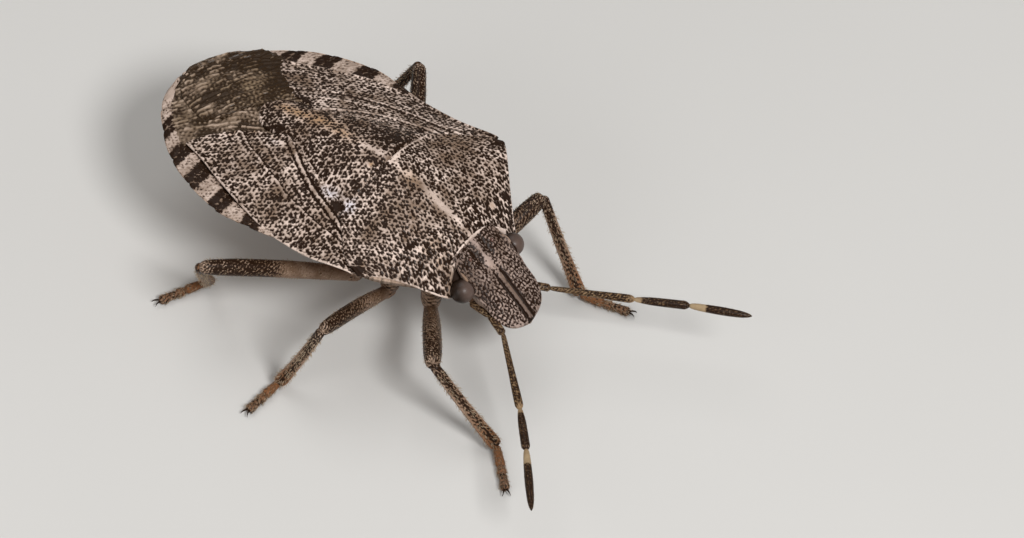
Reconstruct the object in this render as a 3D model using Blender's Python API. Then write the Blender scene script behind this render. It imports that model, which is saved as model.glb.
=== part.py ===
"""A shield bug at life size, standing still on its six feet.

Each sub-part is one closed solid. The outer plates (pronotum, scutellum, forewings and their
membranes) lie over a thorax and a tray-shaped abdomen. All of them are cut from two smooth
surfaces, the back and the belly, which a few named profiles describe.
"""

import math

import bmesh
import bpy
import numpy as np

# Units and fits. The profiles below are in millimetres, and MM turns them into metres.
MM = 0.001
GAP = 0.25
HALF_GAP = GAP / 2
PLATE_DEPTH = 0.5
EDGE_DEPTH = 0.16

# The body's frame: X to the bug's left, -Y to its head, Z up from the plane of the abdomen's edge.
FLOOR = -4.2
BODY_END = 6.87

# Profiles along the body, as (y, value) stations.
BACK_RIDGE = [(-5.3, -0.15), (-4.56, 0.43), (-3.0, 1.2), (-1.26, 1.66), (1.2, 1.35), (3.57, 0.8),
              (5.3, 0.45), (7.0, -0.1)]
SIDE_EDGE = [(-5.3, -0.6), (-5.0, -0.47), (-2.98, 0.72), (-1.0, 0.35), (0.5, 0.27), (3.5, 0.2),
             (7.0, -0.1)]
HALF_WIDTH = [(-5.3, 1.6), (-5.0, 1.75), (-2.98, 3.84), (-2.2, 3.78), (0.0, 3.8), (2.0, 4.01),
              (3.5, 3.68), (4.8, 3.04), (5.8, 2.17), (6.5, 1.35), (6.75, 0.8), (BODY_END, 0.12)]
BELLY_KEEL = [(-5.2, -1.3), (-4.5, -1.6), (-3.0, -1.9), (-1.0, -2.0), (1.0, -2.05), (3.0, -1.9),
              (5.0, -1.35), (6.2, -0.8), (6.9, -0.35)]
BACK_ROUNDING = 0.3
BELLY_POWER = 0.6

# Borders of the plates, as half-widths or as places across.
PRONOTUM_FRONT = [(0.0, -4.56), (0.6, -4.57), (1.0, -4.69), (1.75, -5.02)]
PRONOTUM_BACK = [(0.0, -1.26), (2.12, -1.17), (2.9, -1.75), (3.5, -2.35), (3.84, -2.95)]
PRONOTUM_SIDE_HOLLOW = 0.07
SCUTELLUM_TIP_HALF = 0.06
SCUTELLUM_WIDTH = [(-1.02, 2.14), (-0.12, 1.8), (0.97, 1.31), (1.63, 0.95), (2.1, 0.84), (2.8, 0.76),
                   (3.2, 0.62), (3.45, 0.36), (3.57, 0.12)]
SCUTELLUM_RISE = 0.08
CORIUM_INNER = [(-2.5, 3.5), (-2.2, 3.3), (-1.6, 2.72), (-1.0, 2.14), (-0.12, 1.8), (0.97, 1.31),
                (1.63, 0.95), (2.1, 0.84), (2.6, 0.88), (3.0, 0.97), (3.4, 1.15), (3.9, 1.47),
                (4.35, 1.88), (4.7, 2.3)]
WING_RIM = [(-2.6, 3.74), (-1.0, 3.78), (0.0, 3.77), (0.4, 3.74), (1.42, 3.53), (2.38, 3.25),
            (3.35, 2.88), (4.12, 2.56), (4.75, 2.36), (5.3, 2.07), (5.8, 1.7), (6.3, 1.15),
            (6.6, 0.6), (6.72, 0.1)]
MEMBRANE_TOP_EDGE = [(3.2, 0.9), (3.35, 0.67), (3.7, 0.1), (4.3, -0.88), (4.6, -1.2), (4.9, -1.32),
                     (5.5, -1.15), (6.2, -0.75), (6.5, -0.35)]
CORIUM_ENDS = (-2.36, 4.56)
CORIUM_LEAST_WIDTH = 0.08
MEMBRANE_START = 3.38
MEMBRANE_END = 6.5
RIGHT_MEMBRANE_END = 6.4
MEMBRANE_VEINS = 6
VEIN_HEADING = (-0.85, 0.52)
VEIN_RISE = 0.08
# The left membrane's rows: from the first to the last across its veins, and how far each is searched.
VEIN_ROWS = (3.44, 5.86)
VEIN_SEARCH = (-3.0, 4.5)
RIM_START = 0.0
RIM_SWELL = 0.05
RIM_TUCK = 0.4
TRAY_ENDS = (-0.65, 6.6)
TRAY_CLOSING = (6.72, 6.8)
THORAX_FRONT = -4.55
SUTURES = [-0.2, 1.05, 2.33, 3.58, 4.63, 5.65, 6.35]
SUTURE_NOTCH = 0.06

# The head, by its own stations.
HEAD_SLOPE = 0.766
HEAD_WIDTH = [(-7.03, 0.12), (-6.98, 0.42), (-6.88, 0.7), (-6.7, 0.93), (-6.5, 1.04), (-6.2, 1.11),
              (-5.9, 1.1), (-5.6, 1.12), (-5.2, 1.1), (-4.81, 1.0)]
HEAD_BOTTOM = [(-7.03, -1.66), (-6.4, -1.85), (-5.8, -1.8), (-5.2, -1.55), (-4.81, -1.3)]
HEAD_STATIONS = [-5.0, -5.3, -5.6, -5.9, -6.2, -6.45, -6.65, -6.82, -6.93, -7.0, -7.03]
HEAD_TOP_ACROSS = (1.0, 0.85, 0.6, 0.35, 0.2, 0.1, -0.1, -0.2, -0.35, -0.6, -0.85, -1.0)
HEAD_LOW_ACROSS = ((-0.97, 0.15), (-0.7, 0.5), (-0.42, 0.95), (0.0, 1.0), (0.42, 0.95), (0.7, 0.5),
                   (0.97, 0.15))
HEAD_EDGE_DROP = 0.12
STRIP_RISE = 0.05
STRIP_START = -5.5
STRIP_HALF = 0.15
EYE_PLACE = (1.28, -5.21, -0.44)
EYE_RADIUS = 0.37
EYE_HOLLOW = 0.2

# Limbs: joints in the body's frame, and radii.
COXA_RADIUS = 0.33
COXA_SLIM = 0.27
COXA_END = -2.35
KNEE_RADIUS = 0.25
ANKLE_RADIUS = 0.23
ANKLE_HEIGHT = 0.3
TARSUS_HEIGHT = 0.2
LEGS = {
    "fore_left": ((0.95, -3.9), (4.16, -4.35, -1.2), (3.76, -6.37), (4.22, -7.96), 0.3),
    "fore_right": ((-0.95, -3.9), (-3.52, -5.85, -1.39), (-2.97, -8.08), (-4.14, -9.29), 0.3),
    "mid_left": ((1.18, -2.5), (4.5, -1.7, -1.4), (5.5, -0.5), (6.5, -0.2), 0.25),
    "mid_right": ((-1.18, -2.5), (-4.95, -2.67, -0.93), (-5.19, -1.4), (-6.67, -1.35), 0.25),
    "hind_left": ((1.33, -1.35), (5.47, 1.54, -0.22), (5.5, 3.62), (6.47, 5.08), 0.27),
    "hind_right": ((-1.33, -1.35), (-5.57, 1.58, -0.57), (-3.31, 2.89), (-4.92, 3.56), 0.27),
}
TIBIA_RADIUS = 0.25
TARSUS_RADIUS = 0.25
ANTENNA_RADIUS = 0.25
ANTENNAE = {
    "left": [(0.98, -5.45, -1.62), (1.12, -5.98, -1.8), (1.5, -6.68, -1.72), (2.79, -8.89, -1.6),
             (3.68, -10.34, -1.6), (4.57, -12.06, -1.6)],
    "right": [(-0.98, -5.45, -1.62), (-1.05, -5.98, -1.8), (-1.12, -6.72, -1.66),
              (-2.95, -8.75, -1.8), (-4.05, -9.8, -1.9), (-5.9, -11.35, -1.85)],
}
ROSTRUM = [(0.0, -6.25, -2.35), (0.0, -5.3, -2.4), (0.0, -4.0, -2.45), (0.0, -2.4, -2.5)]
ROSTRUM_RADII = [0.25, 0.27, 0.25, 0.14]


def clear_scene():
    """Start from an empty scene."""
    for old in list(bpy.data.objects):
        bpy.data.objects.remove(old, do_unlink=True)


def curve(stations, t):
    """Read a smooth curve, without overshoot, through (place, value) stations."""
    places = [s[0] for s in stations]
    values = [s[1] for s in stations]
    if t <= places[0]:
        return values[0]
    if t >= places[-1]:
        return values[-1]
    slopes = [(values[i + 1] - values[i]) / (places[i + 1] - places[i]) for i in range(len(values) - 1)]
    tangents = [slopes[0]]
    for before, after in zip(slopes, slopes[1:]):
        flat = before * after <= 0
        tangents.append(0.0 if flat else 2 * before * after / (before + after))
    tangents.append(slopes[-1])
    i = max(k for k in range(len(places) - 1) if places[k] <= t)
    step = places[i + 1] - places[i]
    f = (t - places[i]) / step
    start = values[i] * (2 * f ** 3 - 3 * f ** 2 + 1) + tangents[i] * step * (f ** 3 - 2 * f ** 2 + f)
    end = values[i + 1] * (3 * f ** 2 - 2 * f ** 3) + tangents[i + 1] * step * (f ** 3 - f ** 2)
    return start + end


def back_height(x, y):
    """Height of the back's surface: a soft roof between the ridge and the side edge."""
    s = abs(x) / curve(HALF_WIDTH, y)
    a = BACK_ROUNDING
    fall = (math.hypot(s, a) - a) / (math.hypot(1, a) - a)
    ridge = curve(BACK_RIDGE, y)
    return ridge - (ridge - curve(SIDE_EDGE, y)) * fall


def belly_height(x, y):
    """Height of the underside: full along the middle, rising steeply to the side edge."""
    s = min(abs(x) / curve(HALF_WIDTH, y), 1.0)
    edge = curve(SIDE_EDGE, y)
    return edge - (edge - curve(BELLY_KEEL, y)) * (1 - s * s) ** BELLY_POWER


def plate_depth(x, y):
    """Thickness of an outer plate, thinner where the body itself is thin."""
    body = back_height(x, y) - belly_height(x, y)
    return min(PLATE_DEPTH, max(EDGE_DEPTH, 0.45 * body))


def material(name, colour, roughness):
    """A plain Principled material."""
    made = bpy.data.materials.new(name)
    made.use_nodes = True
    shader = made.node_tree.nodes["Principled BSDF"]
    shader.inputs["Base Color"].default_value = (*colour, 1.0)
    shader.inputs["Roughness"].default_value = roughness
    shader.inputs["Metallic"].default_value = 0.0
    made.diffuse_color = (*colour, 1.0)
    return made


def add_object(name, points, faces, finish):
    """Make one named object from points in millimetres, with its faces turned outwards."""
    mesh = bpy.data.meshes.new(name)
    mesh.from_pydata([(x * MM, y * MM, z * MM) for x, y, z in points], [], faces)
    shaped = bmesh.new()
    shaped.from_mesh(mesh)
    bmesh.ops.recalc_face_normals(shaped, faces=shaped.faces)
    shaped.to_mesh(mesh)
    shaped.free()
    mesh.shade_smooth()
    mesh.set_sharp_from_angle(angle=math.radians(40))
    mesh.materials.append(finish)
    made = bpy.data.objects.new(name, mesh)
    bpy.context.collection.objects.link(made)
    return made


def loft(name, rings, finish):
    """Skin closed rings of equal count, and close both ends."""
    count = len(rings[0])
    points = [p for ring in rings for p in ring]
    faces = [tuple(range(count)), tuple(range(len(points) - count, len(points)))]
    for row in range(len(rings) - 1):
        for i in range(count):
            a = row * count + i
            b = row * count + (i + 1) % count
            faces.append((a, b, b + count))
            faces.append((a, b + count, a + count))
    return add_object(name, points, faces, finish)


def slab(name, rows, depth, finish):
    """Thicken a sheet of rows downwards, with the same triangles on both of its faces."""
    across = len(rows[0])
    top = [p for row in rows for p in row]
    under = [(x, y, z - depth(x, y)) for x, y, z in top]
    shift = len(top)
    faces = []
    for r in range(len(rows) - 1):
        for c in range(across - 1):
            a = r * across + c
            for tri in ((a, a + 1, a + across + 1), (a, a + across + 1, a + across)):
                faces.append(tri)
                faces.append(tuple(i + shift for i in reversed(tri)))
    last = (len(rows) - 1) * across
    rim = list(range(across - 1))
    rim += [r * across + across - 1 for r in range(len(rows) - 1)]
    rim += [last + c for c in range(across - 1, 0, -1)]
    rim += [r * across for r in range(len(rows) - 1, 0, -1)]
    for a, b in zip(rim, rim[1:] + rim[:1]):
        faces.append((a, b, b + shift))
        faces.append((a, b + shift, a + shift))
    return add_object(name, top + under, faces, finish)


def spread(low, high, count):
    """Evenly spaced numbers from low to high."""
    return [float(v) for v in np.linspace(low, high, count)]


def make_pronotum(finish):
    """The collar plate: its front margin curves round the head, its sides run out to the shoulders."""
    rows = []
    front_corner = PRONOTUM_FRONT[-1][0]
    back_corner = PRONOTUM_BACK[-1][0]
    for v in spread(0, 1, 11):
        row = []
        for u in spread(-1, 1, 23):
            fx, bx = front_corner * u, back_corner * u
            fy = curve(PRONOTUM_FRONT, abs(fx))
            by = curve(PRONOTUM_BACK, abs(bx))
            hollow = PRONOTUM_SIDE_HOLLOW * math.sin(math.pi * v) * abs(u) ** 6
            x = fx + (bx - fx) * v - math.copysign(hollow, u)
            y = fy + (by - fy) * v
            row.append((x, y, back_height(x, y)))
        rows.append(row)
    return slab("pronotum", rows, plate_depth, finish)


def make_scutellum(finish):
    """The shield over the middle of the back: a triangle that ends in a round tongue."""
    rows = []
    for y in spread(SCUTELLUM_WIDTH[0][0], SCUTELLUM_WIDTH[-1][0], 20):
        half = max(curve(SCUTELLUM_WIDTH, y) - HALF_GAP, SCUTELLUM_TIP_HALF)
        row = []
        for u in spread(-1, 1, 13):
            rise = SCUTELLUM_RISE * (1 - u ** 4)
            row.append((half * u, y, back_height(half * u, y) + rise))
        rows.append(row)
    return slab("scutellum", rows, lambda x, y: PLATE_DEPTH, finish)


def make_forewing(name, side, finish):
    """The leathery part of one forewing, from the shoulder to its oblique hind border."""
    rows = []
    for y in spread(*CORIUM_ENDS, 24):
        inner = curve(CORIUM_INNER, y) + HALF_GAP
        outer = curve(WING_RIM, y) - (HALF_GAP if y > RIM_START else 0.0)
        outer = max(outer, inner + CORIUM_LEAST_WIDTH)
        row = [(side * x, y, back_height(x, y)) for x in spread(inner, outer, 9)]
        rows.append(row)
    return slab(name, rows, plate_depth, finish)


def membrane_border(y):
    """The membranes' outer half-width: along the corium first, then inside the abdomen's rim."""
    border = curve(CORIUM_INNER, y) if y < CORIUM_INNER[-1][0] else curve(WING_RIM, y)
    return border - HALF_GAP


def on_left_membrane(x, y):
    """Whether a place belongs to the left membrane, which lies on top."""
    if not MEMBRANE_START <= y <= MEMBRANE_END:
        return False
    return curve(MEMBRANE_TOP_EDGE, y) + HALF_GAP <= x <= membrane_border(y)


def make_left_membrane(finish):
    """The upper membrane, in rows that follow its veins, every second row raised as a vein."""
    along_x, along_y = VEIN_HEADING
    rows = []
    for i, across in enumerate(spread(*VEIN_ROWS, 2 * MEMBRANE_VEINS + 1)):
        inside = []
        for step in spread(*VEIN_SEARCH, 500):
            x = across * along_y + step * along_x
            y = -across * along_x + step * along_y
            if on_left_membrane(x, y):
                inside.append((x, y))
        start, end = inside[0], inside[-1]
        rise = VEIN_RISE if i % 2 else 0.0
        row = []
        for f in spread(0, 1, 13):
            x = start[0] + (end[0] - start[0]) * f
            y = start[1] + (end[1] - start[1]) * f
            row.append((x, y, back_height(x, y) + rise))
        rows.append(row)
    return slab("membrane_left", rows, plate_depth, finish)


def make_right_membrane(finish):
    """The strip of the lower membrane that the upper one leaves bare, with its veins across it."""
    rows = []
    for i, y in enumerate(spread(MEMBRANE_START, RIGHT_MEMBRANE_END, 15)):
        inner = curve(MEMBRANE_TOP_EDGE, y) - HALF_GAP
        if y < SCUTELLUM_WIDTH[-1][0]:
            inner = min(inner, -curve(SCUTELLUM_WIDTH, y) - HALF_GAP)
        rise = VEIN_RISE if i % 2 else 0.0
        row = [(x, y, back_height(x, y) + rise) for x in spread(-membrane_border(y), inner, 5)]
        rows.append(row)
    return slab("membrane_right", rows, plate_depth, finish)


def tray_floor(x, y):
    """The abdomen's surface below the wings."""
    return back_height(x, y) - plate_depth(x, y) - GAP


def make_abdomen(finish):
    """A tray under the wings, whose flat banded rim shows along both sides."""
    rings = []
    stops = sorted(SUTURES + spread(*TRAY_ENDS, 13) + [*TRAY_CLOSING, BODY_END])
    stops = [y for i, y in enumerate(stops) if i == 0 or y - stops[i - 1] > 0.05]
    for y in stops:
        shown = min(max((y + 0.1) / 0.5, 0.0), 1.0)
        closed = min(max((y - TRAY_CLOSING[0]) / 0.08, 0.0), 1.0)
        near_suture = min(abs(y - s) for s in SUTURES)
        notch = SUTURE_NOTCH * max(0.0, 1 - near_suture / 0.2)
        edge = curve(HALF_WIDTH, y) - notch - (1 - shown) * RIM_TUCK
        inner = min(curve(WING_RIM, y) + HALF_GAP * shown - (1 - shown) * 0.3, edge - 0.08)
        inner *= 1 - 0.5 * closed
        rim_edge = shown * curve(SIDE_EDGE, y) + (1 - shown) * tray_floor(edge, y)
        rim_inner = rim_edge + 0.06 * shown
        top = [(edge, rim_edge), ((edge + inner) / 2, rim_edge + RIM_SWELL * shown), (inner, rim_inner)]
        for f in (1.0, 0.75, 0.5, 0.25):
            x = (inner - 0.02) * f
            floor = tray_floor(x, y)
            top.append((x, floor + (rim_edge - floor) * closed))
        ring = [(x, y, z) for x, z in top]
        floor = tray_floor(0.0, y)
        ring.append((0.0, y, floor + (rim_edge - floor) * closed))
        ring += [(-x, y, z) for x, z in reversed(top)]
        for f in spread(-0.96, 0.96, 13):
            x = edge * f
            low = belly_height(x, y) + notch * 0.8
            ring.append((x, y, min(low, rim_edge - EDGE_DEPTH * 0.6)))
        rings.append(ring)
    return loft("abdomen", rings, finish)


def make_thorax(finish):
    """The lower half of the middle body, which carries the legs."""
    rings = []
    for y in spread(THORAX_FRONT, TRAY_ENDS[0] - GAP, 11):
        reach = 0.0
        for x in spread(0.1, curve(HALF_WIDTH, y), 160):
            if tray_floor(x, y) - belly_height(x, y) > 0.12:
                reach = x
        ring = [(x, y, tray_floor(x, y)) for x in spread(reach, -reach, 13)]
        ring += [(x, y, belly_height(x, y)) for x in spread(-reach, reach, 13)[1:-1]]
        rings.append(ring)
    return loft("thorax", rings, finish)


def make_head(finish):
    """A flat-topped, spade-shaped head with a narrow raised strip down its front half."""
    rings = []
    neck = PRONOTUM_FRONT[0][1]
    for y in [neck - GAP] + HEAD_STATIONS:
        half = curve(HEAD_WIDTH, y)
        top = curve(BACK_RIDGE, neck) + HEAD_SLOPE * (y - neck)
        bottom = min(curve(HEAD_BOTTOM, y), top - 0.25)
        ring = []
        for u in HEAD_TOP_ACROSS:
            strip = STRIP_RISE if abs(u) < STRIP_HALF and y < STRIP_START else 0.0
            ring.append((half * u, y, top - HEAD_EDGE_DROP * abs(u) ** 3 + strip))
        margin = top - HEAD_EDGE_DROP
        depth = margin - bottom
        for u, f in HEAD_LOW_ACROSS:
            ring.append((half * u, y, margin - depth * f))
        rings.append(ring)
    return loft("head", rings, finish)


def sphere(name, centre, radius, finish, rows=9, turns=16):
    """A round ball with its poles along X."""
    points = [(centre[0] - radius, centre[1], centre[2])]
    for r in range(1, rows):
        a = math.pi * r / rows
        for k in range(turns):
            b = math.tau * k / turns
            points.append((centre[0] - radius * math.cos(a),
                           centre[1] + radius * math.sin(a) * math.cos(b),
                           centre[2] + radius * math.sin(a) * math.sin(b)))
    points.append((centre[0] + radius, centre[1], centre[2]))
    faces = []
    last = len(points) - 1
    for k in range(turns):
        n = (k + 1) % turns
        faces.append((0, 1 + k, 1 + n))
        faces.append((last, last - turns + n, last - turns + k))
        for r in range(rows - 2):
            a = 1 + r * turns
            faces.append((a + k, a + n, a + turns + n, a + turns + k))
    return add_object(name, points, faces, finish)


def cut_away(target, cutter):
    """Cut one solid out of another with a Boolean that stays on the object."""
    cutter.hide_render = True
    cutter.display_type = "WIRE"
    cut = target.modifiers.new("cut_" + cutter.name, "BOOLEAN")
    cut.operation = "DIFFERENCE"
    cut.object = cutter


def make_eyes(finish, neighbours):
    """Two round eyes, each in a hollow of the head and of the plates behind it."""
    x, y, z = EYE_PLACE
    for name, side in (("eye_left", 1), ("eye_right", -1)):
        centre = (side * x, y, z)
        sphere(name, centre, EYE_RADIUS, finish)
        hollow = sphere(name + "_hollow", centre, EYE_RADIUS + EYE_HOLLOW, finish)
        for neighbour in neighbours:
            cut_away(neighbour, hollow)


def tube(name, path, radii, finish, sides=10, floor=None):
    """A round limb along a path, with rings square to it and its lowest side flattened on a floor."""
    path = [np.array(p, dtype=float) for p in path]
    rings = []
    for i, centre in enumerate(path):
        ahead = path[min(i + 1, len(path) - 1)] - path[max(i - 1, 0)]
        ahead /= np.linalg.norm(ahead)
        side = np.cross(ahead, (0.0, 0.0, 1.0))
        side /= np.linalg.norm(side)
        up = np.cross(side, ahead)
        ring = []
        for k in range(sides):
            a = math.tau * (k + 0.5) / sides
            p = centre + radii[i] * (math.cos(a) * side + math.sin(a) * up)
            if floor is not None:
                p[2] = max(p[2], floor)
            ring.append(tuple(p))
        rings.append(ring)
    return loft(name, rings, finish)


def clear_start(joint, before, after, radius_before, radius_after):
    """How far past a rounded joint the next length starts, so that it keeps GAP from the one before."""
    back = np.array(before, dtype=float) - np.array(joint)
    ahead = np.array(after, dtype=float) - np.array(joint)
    cosine = float(np.dot(back, ahead) / np.linalg.norm(back) / np.linalg.norm(ahead))
    angle = math.acos(max(-1.0, min(1.0, cosine)))
    distance = radius_before
    closest = 0.0
    while closest < GAP and distance < 1.2:
        distance += 0.01
        closest = 9.0
        for across in (-radius_after, 0.0, radius_after):
            x = -distance * math.cos(angle) + across * math.sin(angle)
            y = distance * math.sin(angle) + across * math.cos(angle)
            closest = min(closest, math.hypot(max(x, 0.0), y) - radius_before)
    return distance


def along(start, end, distance):
    """The point at a distance from start towards end."""
    start = np.array(start, dtype=float)
    step = np.array(end, dtype=float) - start
    return start + step * distance / np.linalg.norm(step)


def between(start, end, fractions):
    """Points at fractions of the way from start to end."""
    start = np.array(start, dtype=float)
    step = np.array(end, dtype=float) - start
    return [start + step * f for f in fractions]


def limb(name, start, end, fractions, radii, finish):
    """A limb from start to end that closes in a rounded knob at its far joint."""
    path = between(start, end, fractions)
    ahead = (path[-1] - path[0]) / np.linalg.norm(path[-1] - path[0])
    knob = radii[-1]
    path += [path[-1] + ahead * 0.55 * knob, path[-1] + ahead * 0.9 * knob]
    tube(name, path, radii + [0.8 * knob, 0.4 * knob], finish)


def make_leg(name, places, finishes):
    """One leg: a short coxa, a swollen femur, a slender tibia and a tarsus flat on the floor."""
    (hip_x, hip_y), knee, (ankle_x, ankle_y), (toe_x, toe_y), femur_radius = places
    root = (hip_x, hip_y, belly_height(hip_x, hip_y) - GAP - 0.05)
    hip = (hip_x, hip_y + 0.001, COXA_END)
    tube("coxa_" + name, [root, hip], [COXA_RADIUS, COXA_SLIM], finishes["coxa"])
    ankle = (ankle_x, ankle_y, FLOOR + ANKLE_HEIGHT)
    heel = (ankle_x, ankle_y, FLOOR + TARSUS_HEIGHT)
    toe = (toe_x, toe_y, FLOOR + TARSUS_HEIGHT)
    r = femur_radius
    start = along(hip, knee, COXA_SLIM + GAP)
    limb("femur_" + name, start, knee, (0, 0.08, 0.3, 0.55, 0.8, 1), [0.2, 0.25, r, r, r, KNEE_RADIUS],
         finishes["femur"])
    r = TIBIA_RADIUS
    start = along(knee, ankle, clear_start(knee, hip, ankle, KNEE_RADIUS, 0.75 * r))
    limb("tibia_" + name, start, ankle, (0, 0.08, 0.5, 0.92, 1), [0.75 * r, r, r, r, ANKLE_RADIUS],
         finishes["tibia"])
    r = TARSUS_RADIUS
    start = along(heel, toe, clear_start(ankle, knee, toe, ANKLE_RADIUS, 0.75 * r))
    tube("tarsus_" + name, between(start, toe, (0, 0.1, 0.4, 0.48, 0.6, 0.68, 0.9, 1)),
         [0.75 * r, r, r, 0.75 * r, 0.9 * r, 0.75 * r, 0.8 * r, 0.4 * r], finishes["tarsus"],
         floor=FLOOR)


def make_antenna(side, joints, finish):
    """Five lengths, the first two short and the last drawn out to a tip."""
    r = ANTENNA_RADIUS
    joints = [np.array(j, dtype=float) for j in joints]
    start = joints[0]
    last = len(joints) - 2
    for i in range(last + 1):
        radii = [0.8 * r, r, 0.85 * r, 0.25 * r] if i == last else [0.85 * r, r, r, 0.85 * r]
        tube(f"antenna_{side}_{i + 1}", between(start, joints[i + 1], (0, 0.15, 0.75, 1)), radii,
             finish, sides=8)
        if i < last:
            before = joints[i + 1] - joints[i]
            after = joints[i + 2] - joints[i + 1]
            cross = np.linalg.norm(np.cross(before, after))
            bend = cross / np.linalg.norm(before) / np.linalg.norm(after)
            start = along(joints[i + 1], joints[i + 2], GAP + 2 * r * bend)


def stand_on_origin():
    """Put the bug's feet on z = 0 with the middle of its box over the origin."""
    bpy.context.view_layer.update()
    stance = bpy.data.objects.new("stance", None)
    bpy.context.collection.objects.link(stance)
    solids = [o for o in bpy.data.objects if o.type == "MESH" and not o.hide_render]
    corners = np.array([v.co[:] for o in solids for v in o.data.vertices])
    middle = (corners.min(axis=0) + corners.max(axis=0)) / 2
    for o in bpy.data.objects:
        if o.type == "MESH":
            o.parent = stance
    stance.location = (-middle[0], -middle[1], -FLOOR * MM)


def build():
    """Make every sub-part."""
    clear_scene()
    plate = material("plate", (0.34, 0.27, 0.22), 0.55)
    membrane = material("membrane", (0.19, 0.15, 0.11), 0.4)
    under = material("underside", (0.42, 0.34, 0.26), 0.55)
    head = material("head", (0.3, 0.25, 0.22), 0.55)
    eye = material("eye", (0.06, 0.045, 0.04), 0.2)
    horn = material("antenna", (0.12, 0.08, 0.06), 0.5)
    legs = {"coxa": material("coxa", (0.4, 0.32, 0.22), 0.55),
            "femur": material("femur", (0.25, 0.19, 0.14), 0.55),
            "tibia": material("tibia", (0.3, 0.2, 0.14), 0.55),
            "tarsus": material("tarsus", (0.38, 0.2, 0.11), 0.5)}
    pronotum = make_pronotum(plate)
    make_scutellum(plate)
    make_forewing("forewing_left", 1, plate)
    make_forewing("forewing_right", -1, plate)
    make_left_membrane(membrane)
    make_right_membrane(membrane)
    make_abdomen(under)
    thorax = make_thorax(under)
    skull = make_head(head)
    make_eyes(eye, (skull, pronotum, thorax))
    tube("rostrum", ROSTRUM, ROSTRUM_RADII, horn, sides=8)
    for name, places in LEGS.items():
        make_leg(name, places, legs)
    for side, joints in ANTENNAE.items():
        make_antenna(side, joints, horn)
    stand_on_origin()


build()
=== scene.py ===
"""The looks of a shield bug that stands on a pale floor: skin, plates, wings, limbs, hairs and light.

Shapes are worked out in the bug's own frame, in millimetres: X to its left, -Y to its head, Z up from
the plane of the abdomen's edge. The frame's eyes and floor say where that frame lies in the scene.
"""

import math

import bmesh
import bpy
import numpy as np
from mathutils import Matrix, Vector


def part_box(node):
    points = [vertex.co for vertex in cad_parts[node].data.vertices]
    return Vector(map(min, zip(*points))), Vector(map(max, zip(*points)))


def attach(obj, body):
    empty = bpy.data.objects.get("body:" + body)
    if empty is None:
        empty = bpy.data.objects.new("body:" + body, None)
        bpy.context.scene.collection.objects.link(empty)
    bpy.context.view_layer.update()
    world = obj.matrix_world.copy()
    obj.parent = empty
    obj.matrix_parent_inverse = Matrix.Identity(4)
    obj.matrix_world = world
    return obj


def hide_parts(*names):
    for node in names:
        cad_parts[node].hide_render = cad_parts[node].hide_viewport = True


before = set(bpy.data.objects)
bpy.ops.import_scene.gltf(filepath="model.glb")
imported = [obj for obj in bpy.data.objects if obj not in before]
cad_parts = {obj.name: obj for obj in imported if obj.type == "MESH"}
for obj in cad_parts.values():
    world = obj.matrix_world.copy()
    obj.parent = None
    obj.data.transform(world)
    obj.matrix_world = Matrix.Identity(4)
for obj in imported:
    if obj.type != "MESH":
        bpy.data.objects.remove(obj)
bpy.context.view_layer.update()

# Units, grid spacing, the floor, and the camera at the picture's viewing angle.
MM = 0.001
FINE = 0.024
FLOOR = -4.2
CLEAR = 0.01
SIDES = (("left", 1), ("right", -1))
CAMERA_PLACE = (-91.212, -62.732, 115.762)
CAMERA_AXES = ((0.59224, -0.80234, 0.07417), (0.56135, 0.47688, 0.67637), (-0.57804, -0.35894, 0.73282))
CAMERA_LENS = 182.4
FLOOR_REACH = 0.6
BUMP_DEPTH = 0.004
SENSOR = 36.0

# Profiles along the body, as (y, value) stations.
BACK_RIDGE = [(-5.3, -0.15), (-4.56, 0.43), (-3.0, 1.2), (-1.26, 1.66), (1.2, 1.35), (3.57, 0.8),
              (5.3, 0.45), (7.0, -0.1)]
SIDE_EDGE = [(-5.3, -0.6), (-5.0, -0.47), (-2.98, 0.72), (-1.0, 0.35), (0.5, 0.27), (3.5, 0.2),
             (7.0, -0.1)]
HALF_WIDTH = [(-5.3, 1.6), (-5.0, 1.75), (-2.98, 3.84), (-2.2, 3.78), (0.0, 3.8), (2.0, 4.01),
              (3.5, 3.68), (4.8, 3.04), (5.8, 2.17), (6.5, 1.35), (6.75, 0.8), (6.87, 0.12)]
BELLY_KEEL = [(-5.2, -1.3), (-4.5, -1.6), (-3.0, -1.9), (-1.0, -2.0), (1.0, -2.05), (3.0, -1.9),
              (5.0, -1.35), (6.2, -0.8), (6.9, -0.35)]
BACK_ROUNDING = 0.3
BELLY_POWER = 1.15

# Borders of the plates, as half-widths or as places across.
PRONOTUM_FRONT = [(0.0, -4.56), (0.6, -4.57), (1.0, -4.69), (1.75, -5.02)]
PRONOTUM_BACK = [(0.0, -1.26), (2.12, -1.17), (2.9, -1.75), (3.5, -2.35), (3.84, -2.95)]
SCUTELLUM_WIDTH = [(-1.02, 2.14), (-0.12, 1.8), (0.97, 1.31), (1.63, 0.95), (2.1, 0.84), (2.8, 0.76),
                   (3.2, 0.62), (3.45, 0.36), (3.57, 0.12)]
CORIUM_INNER = [(-2.5, 3.5), (-2.2, 3.3), (-1.6, 2.72), (-1.0, 2.14), (-0.12, 1.8), (0.97, 1.31),
                (1.63, 0.95), (2.1, 0.84), (2.6, 0.88), (3.0, 0.97), (3.4, 1.15), (3.9, 1.47),
                (4.35, 1.88), (4.7, 2.3)]
WING_RIM = [(-2.6, 3.74), (-1.0, 3.78), (0.0, 3.77), (0.4, 3.74), (1.42, 3.53), (2.38, 3.25),
            (3.35, 2.88), (4.12, 2.56), (4.75, 2.36), (5.3, 2.07), (5.8, 1.7), (6.3, 1.15),
            (6.6, 0.6), (6.72, 0.1)]
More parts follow.
